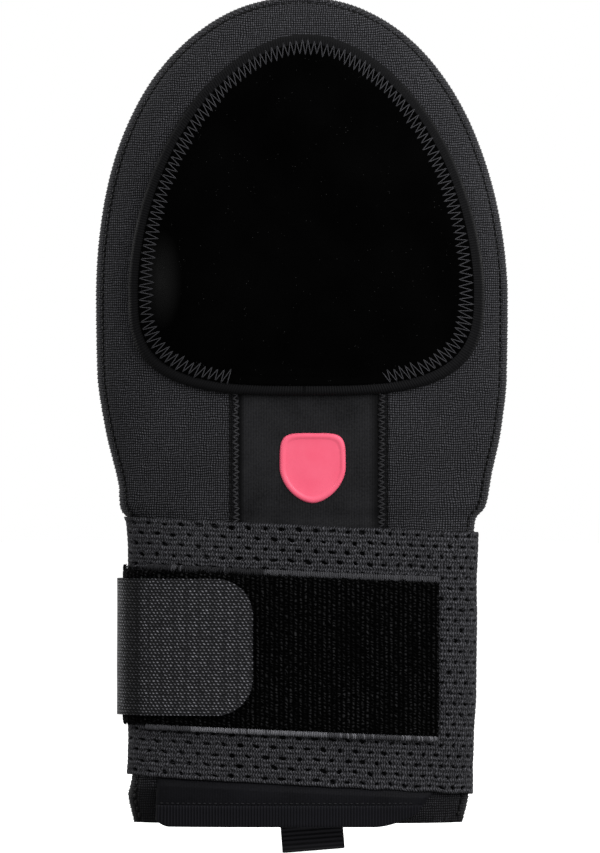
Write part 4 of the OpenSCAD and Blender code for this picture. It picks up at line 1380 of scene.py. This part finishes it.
def tongue_grid(z_share, low, high, t, n_cols=170):
    """Grid over the tongue: z_share from 0 at its lower edge to 1 at its upper one."""
    f = np.linspace(0, 1, n_cols)
    f = 0.5 - 0.5 * np.cos(math.pi * f)
    f = 0.35 * f + 0.65 * np.linspace(0, 1, n_cols)
    F, Z = np.meshgrid(f, z_share)
    x = TONGUE_X[0] + (TONGUE_X[1] - TONGUE_X[0]) * F
    corner = np.clip((F - 0.86) / 0.14, 0, 1) ** 2.2 * 4.6 + np.clip((0.05 - F) / 0.05, 0, 1) ** 2 * 2.4
    lo = low + corner if low < EDGING_Z else np.full_like(x, low)
    x = x + F ** 2 * 0.7 * (lo + (high(x) - lo) * Z)
    z = lo + (high(x) - lo) * Z
    t = np.broadcast_to(t(F, Z, x, z), x.shape)
    return x, z, t


def tongue_depth(F, Z, x, z):
    under = np.clip((z - (strap_low(x) - 3.2)) / 4.0, 0, 1)
    side_drop = np.exp(-np.minimum(F, 1 - F) / 0.012)
    sag = fbm(x, z * 1.5, np.full_like(x, 11.0), 16.0, 2) * 0.3
    return 2.25 * (1 - under) + 0.28 * under - 0.8 * side_drop * (1 - under) + sag * (1 - under)


x, z, h = tongue_grid(np.linspace(0, 1, 60), TONGUE_LOW + 0.2, lambda x: strap_low(x) + 1.2, tongue_depth)
outer = np.stack([x, body_y(x, z, -h, FRONT), z], -1)
inner = np.stack([x, body_y(x, z, -np.minimum(0.28, h - 0.18), FRONT), z], -1)
tongue = shell("cuff_tongue_lycra", outer, inner, np.stack([x, z], -1))
bevel(tongue, 0.3)
wear(tongue, TONGUE, None, ["cuff_tongue"])
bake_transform(tongue)


def edging_depth(F, Z, x, z):
    roll_edge = np.sqrt(np.clip(1 - (2 * Z - 1) ** 8, 0, 1))
    side_drop = np.exp(-np.minimum(F, 1 - F) / 0.008)
    rib = 0.13 * np.cos(2 * math.pi * x / 1.05)
    return 2.35 + 0.75 * roll_edge + rib * roll_edge - 0.5 * side_drop


edging_rows = np.sin(np.linspace(-math.pi / 2, math.pi / 2, 26)) / 2 + 0.5
x, z, h = tongue_grid(edging_rows, TONGUE_LOW, lambda x: EDGING_Z, edging_depth, 420)
outer = np.stack([x, body_y(x, np.maximum(z, 0), -h, FRONT), z], -1)
inner = np.stack([x, body_y(x, np.maximum(z, 0), -2.2, FRONT), z], -1)
edging = shell("tongue_hem_edging", outer, inner, np.stack([x, z], -1))
wear(edging, HEM, "cuff_tongue", ["tongue_edging"])
on_tongue = surface_of(tongue, edging)
pts = []
for x in np.linspace(TONGUE_X[0] + 1, TONGUE_X[1] + 3.5, 160):
    pts.append(((x, on_tongue(x, 9.1, -20) - 0.02, 9.1), (0, -1, 0)))
hem_thread = tubes("tongue_hem_thread", dashes(pts, 1.15, 0.75, 0.2, 0.12), 0.2, 6)
wear(hem_thread, DARK_THREAD, "cuff_tongue", ["tongue_stitching"])

# pull loop of webbing
PULL_X, PULL_Y, PULL_Z, PULL_TILT = 3.0, WRIST_D + 0.5, 11.0, math.radians(4.6)
LOOP_W, LOOP_DROP, WEB_T, GAP = 22.0, 9.3, 1.2, 5.2
r_mid = GAP / 2 + WEB_T / 2
low = -(PULL_Z + LOOP_DROP) + GAP / 2 + WEB_T
centre_y = GAP / 2 + WEB_T
leg = [(WEB_T / 2 + 0.02, v) for v in np.linspace(3.4, low, 60, endpoint=False)]
arc = [(centre_y - r_mid * math.cos(a), low - r_mid * math.sin(a)) for a in np.linspace(0, math.pi, 44)]
back_leg = [(centre_y + r_mid, v) for v in np.linspace(low, -7.0, 30)[1:]]
top_y = WEB_T * 1.5 + 0.04
turn = [(top_y + (centre_y + r_mid - top_y) * (0.5 + 0.5 * math.cos(math.pi * f)), -7.0 + 6.2 * f)
        for f in np.linspace(0, 1, 24)[1:]]
top = [(top_y, v) for v in np.linspace(-0.8, 3.4, 14)[1:]]
line = np.array(leg + arc + back_leg + turn + top)
step = np.concatenate([[0], np.cumsum(np.linalg.norm(np.diff(line, axis=0), axis=1))])
even = np.arange(0, step[-1], 0.19)
line = np.stack([np.interp(even, step, line[:, 0]), np.interp(even, step, line[:, 1])], -1)
tangent = np.gradient(line, axis=0)
tangent /= np.linalg.norm(tangent, axis=1, keepdims=True)
normal = np.stack([-tangent[:, 1], tangent[:, 0]], -1)
if normal[10, 0] > 0:
    normal = -normal
rib = 0.11 * np.cos(2 * math.pi * even / 1.5)
across = np.concatenate([[-1, -0.985, -0.95], np.linspace(-0.88, 0.88, 20), [0.95, 0.985, 1]]) * LOOP_W / 2
thin = np.where(np.abs(across) > LOOP_W / 2 * 0.96, 0.7, 1.0)


def webbing(offset):
    y = line[:, None, 0] + normal[:, None, 0] * offset
    v = line[:, None, 1] + normal[:, None, 1] * offset
    u = np.broadcast_to(across[None], y.shape)
    x = PULL_X + u * math.cos(PULL_TILT) - v * math.sin(PULL_TILT)
    z = PULL_Z + u * math.sin(PULL_TILT) + v * math.cos(PULL_TILT)
    return np.stack([x, PULL_Y + y, z], -1)


half_t = WEB_T / 2 - 0.12
off = (half_t + rib)[:, None] * thin
loop = shell("pull_loop_webbing", webbing(off), webbing(-off),
             np.stack(np.broadcast_arrays(across[None, :], even[:, None]), -1))
wear(loop, WEBBING, None, ["pull_loop"])
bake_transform(loop)
left, right = [], []
u = -8.5
while u < 8.8:
    for row_v, bucket in ((0.5, left), (2.1, right)):
        x = PULL_X + u * math.cos(PULL_TILT) - row_v * math.sin(PULL_TILT)
        z = PULL_Z + u * math.sin(PULL_TILT) + row_v * math.cos(PULL_TILT)
        bucket.append((x, z))
    u += 0.75
path = []
for a, b in zip(left, right):
    for p in (a, b):
        path.append((p[0], PULL_Y + 2 * WEB_T + 0.02, p[1]))
bartack = tubes("pull_loop_bartack_thread", [np.array(path)], 0.24, 6)
wear(bartack, BLACK_THREAD, "mitt", ["pull_loop_bartack"])

# ------------------------------------------------------------------ inner layers that keep the CAD shapes

for node, material in (("front_foam", FOAM), ("back_foam", FOAM), ("tip_bumper", FOAM),
                       ("front_plate", PLATE), ("back_plate", PLATE),
                       ("front_lining", LINING), ("back_lining", LINING)):
    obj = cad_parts[node]
    obj.data.materials.clear()
    obj.data.materials.append(material)

# ------------------------------------------------------------------ floor, light and camera

FLOOR_Z = cad_bounds[0][2] - 0.001
FLOOR_GLOW, WORLD_SEEN, WORLD_LIT, SUN_POWER = 0.45, 1.0, 0.37, 0.95
LENS, SENSOR, VIEW_H = 400.0, 36, 0.2986
AIM = (0, 0, 0.14)
AREA_LIGHTS = {  # place, size (m) and power (W)
    "fill_left": ((-0.9, -0.9, 0.9), (0.8, 1.0), 4.2),
    "key_right": ((0.55, -0.65, 0.5), (0.45, 0.6), 6.9),
    "rim_back_left": ((-0.9, 0.9, 0.5), (0.7, 1.0), 10.0),
    "rim_back_right": ((0.9, 1.0, 0.45), (0.7, 1.0), 9.0),
}


def floor_material():
    m = Net("pale_floor")
    at = m.place()
    soft, fine = m.noise(at, 400.0, 2.0), m.noise(at, 2.0, 2.0)
    return m.finish(m.mix(soft, srgb(247), srgb(251)), m.fit(fine, 0.3, 0.7, 0.85, 0.95),
                    Specular_IOR_Level=0.1, Emission_Color=(1, 1, 1, 1), Emission_Strength=FLOOR_GLOW)


n = 25
size = 9000.0
fx, fy = np.meshgrid(np.linspace(-size, size, n), np.linspace(-size, size, n))
floor = new_object("floor", np.stack([fx, fy, np.full_like(fx, FLOOR_Z / MM)], -1).reshape(-1, 3),
                   [[r * n + c, r * n + c + 1, (r + 1) * n + c + 1, (r + 1) * n + c]
                    for r in range(n - 1) for c in range(n - 1)])
floor.data.materials.append(floor_material())
floor.visible_diffuse = False
floor.visible_glossy = False

world = bpy.data.worlds.new("studio")
bpy.context.scene.world = world
world.use_nodes = True
tree = world.node_tree
tree.nodes.clear()
seen = tree.nodes.new("ShaderNodeBackground")
seen.inputs["Color"].default_value = (1, 1, 1, 1)
seen.inputs["Strength"].default_value = WORLD_SEEN
lit = tree.nodes.new("ShaderNodeBackground")
lit.inputs["Color"].default_value = (1, 1, 1, 1)
lit.inputs["Strength"].default_value = WORLD_LIT
ray = tree.nodes.new("ShaderNodeLightPath")
pick = tree.nodes.new("ShaderNodeMixShader")
out = tree.nodes.new("ShaderNodeOutputWorld")
tree.links.new(ray.outputs["Is Camera Ray"], pick.inputs[0])
tree.links.new(lit.outputs[0], pick.inputs[1])
tree.links.new(seen.outputs[0], pick.inputs[2])
tree.links.new(pick.outputs[0], out.inputs[0])

for name, (place, (wide, tall), power) in AREA_LIGHTS.items():
    data = bpy.data.lights.new(name, "AREA")
    data.shape, data.size, data.size_y, data.energy = "RECTANGLE", wide, tall, power
    lamp = bpy.data.objects.new(name, data)
    bpy.context.scene.collection.objects.link(lamp)
    lamp.location = place
    lamp.rotation_euler = (Vector(AIM) - Vector(place)).to_track_quat("-Z", "Y").to_euler()
    lamp.visible_camera = False
sun_data = bpy.data.lights.new("overhead", "SUN")
sun_data.energy = SUN_POWER
sun_data.angle = math.radians(45)
sun = bpy.data.objects.new("overhead", sun_data)
bpy.context.scene.collection.objects.link(sun)

camera_data = bpy.data.cameras.new("camera")
camera_data.lens = LENS
camera_data.sensor_width = SENSOR
camera_data.clip_end = 50
camera = bpy.data.objects.new("camera", camera_data)
bpy.context.scene.collection.objects.link(camera)
camera.location = (-0.0002, -VIEW_H * LENS / SENSOR - 0.004, 0.1405)
camera.rotation_euler = (math.radians(90), 0, 0)
bpy.context.scene.camera = camera
bpy.context.scene.view_settings.view_transform = "Standard"
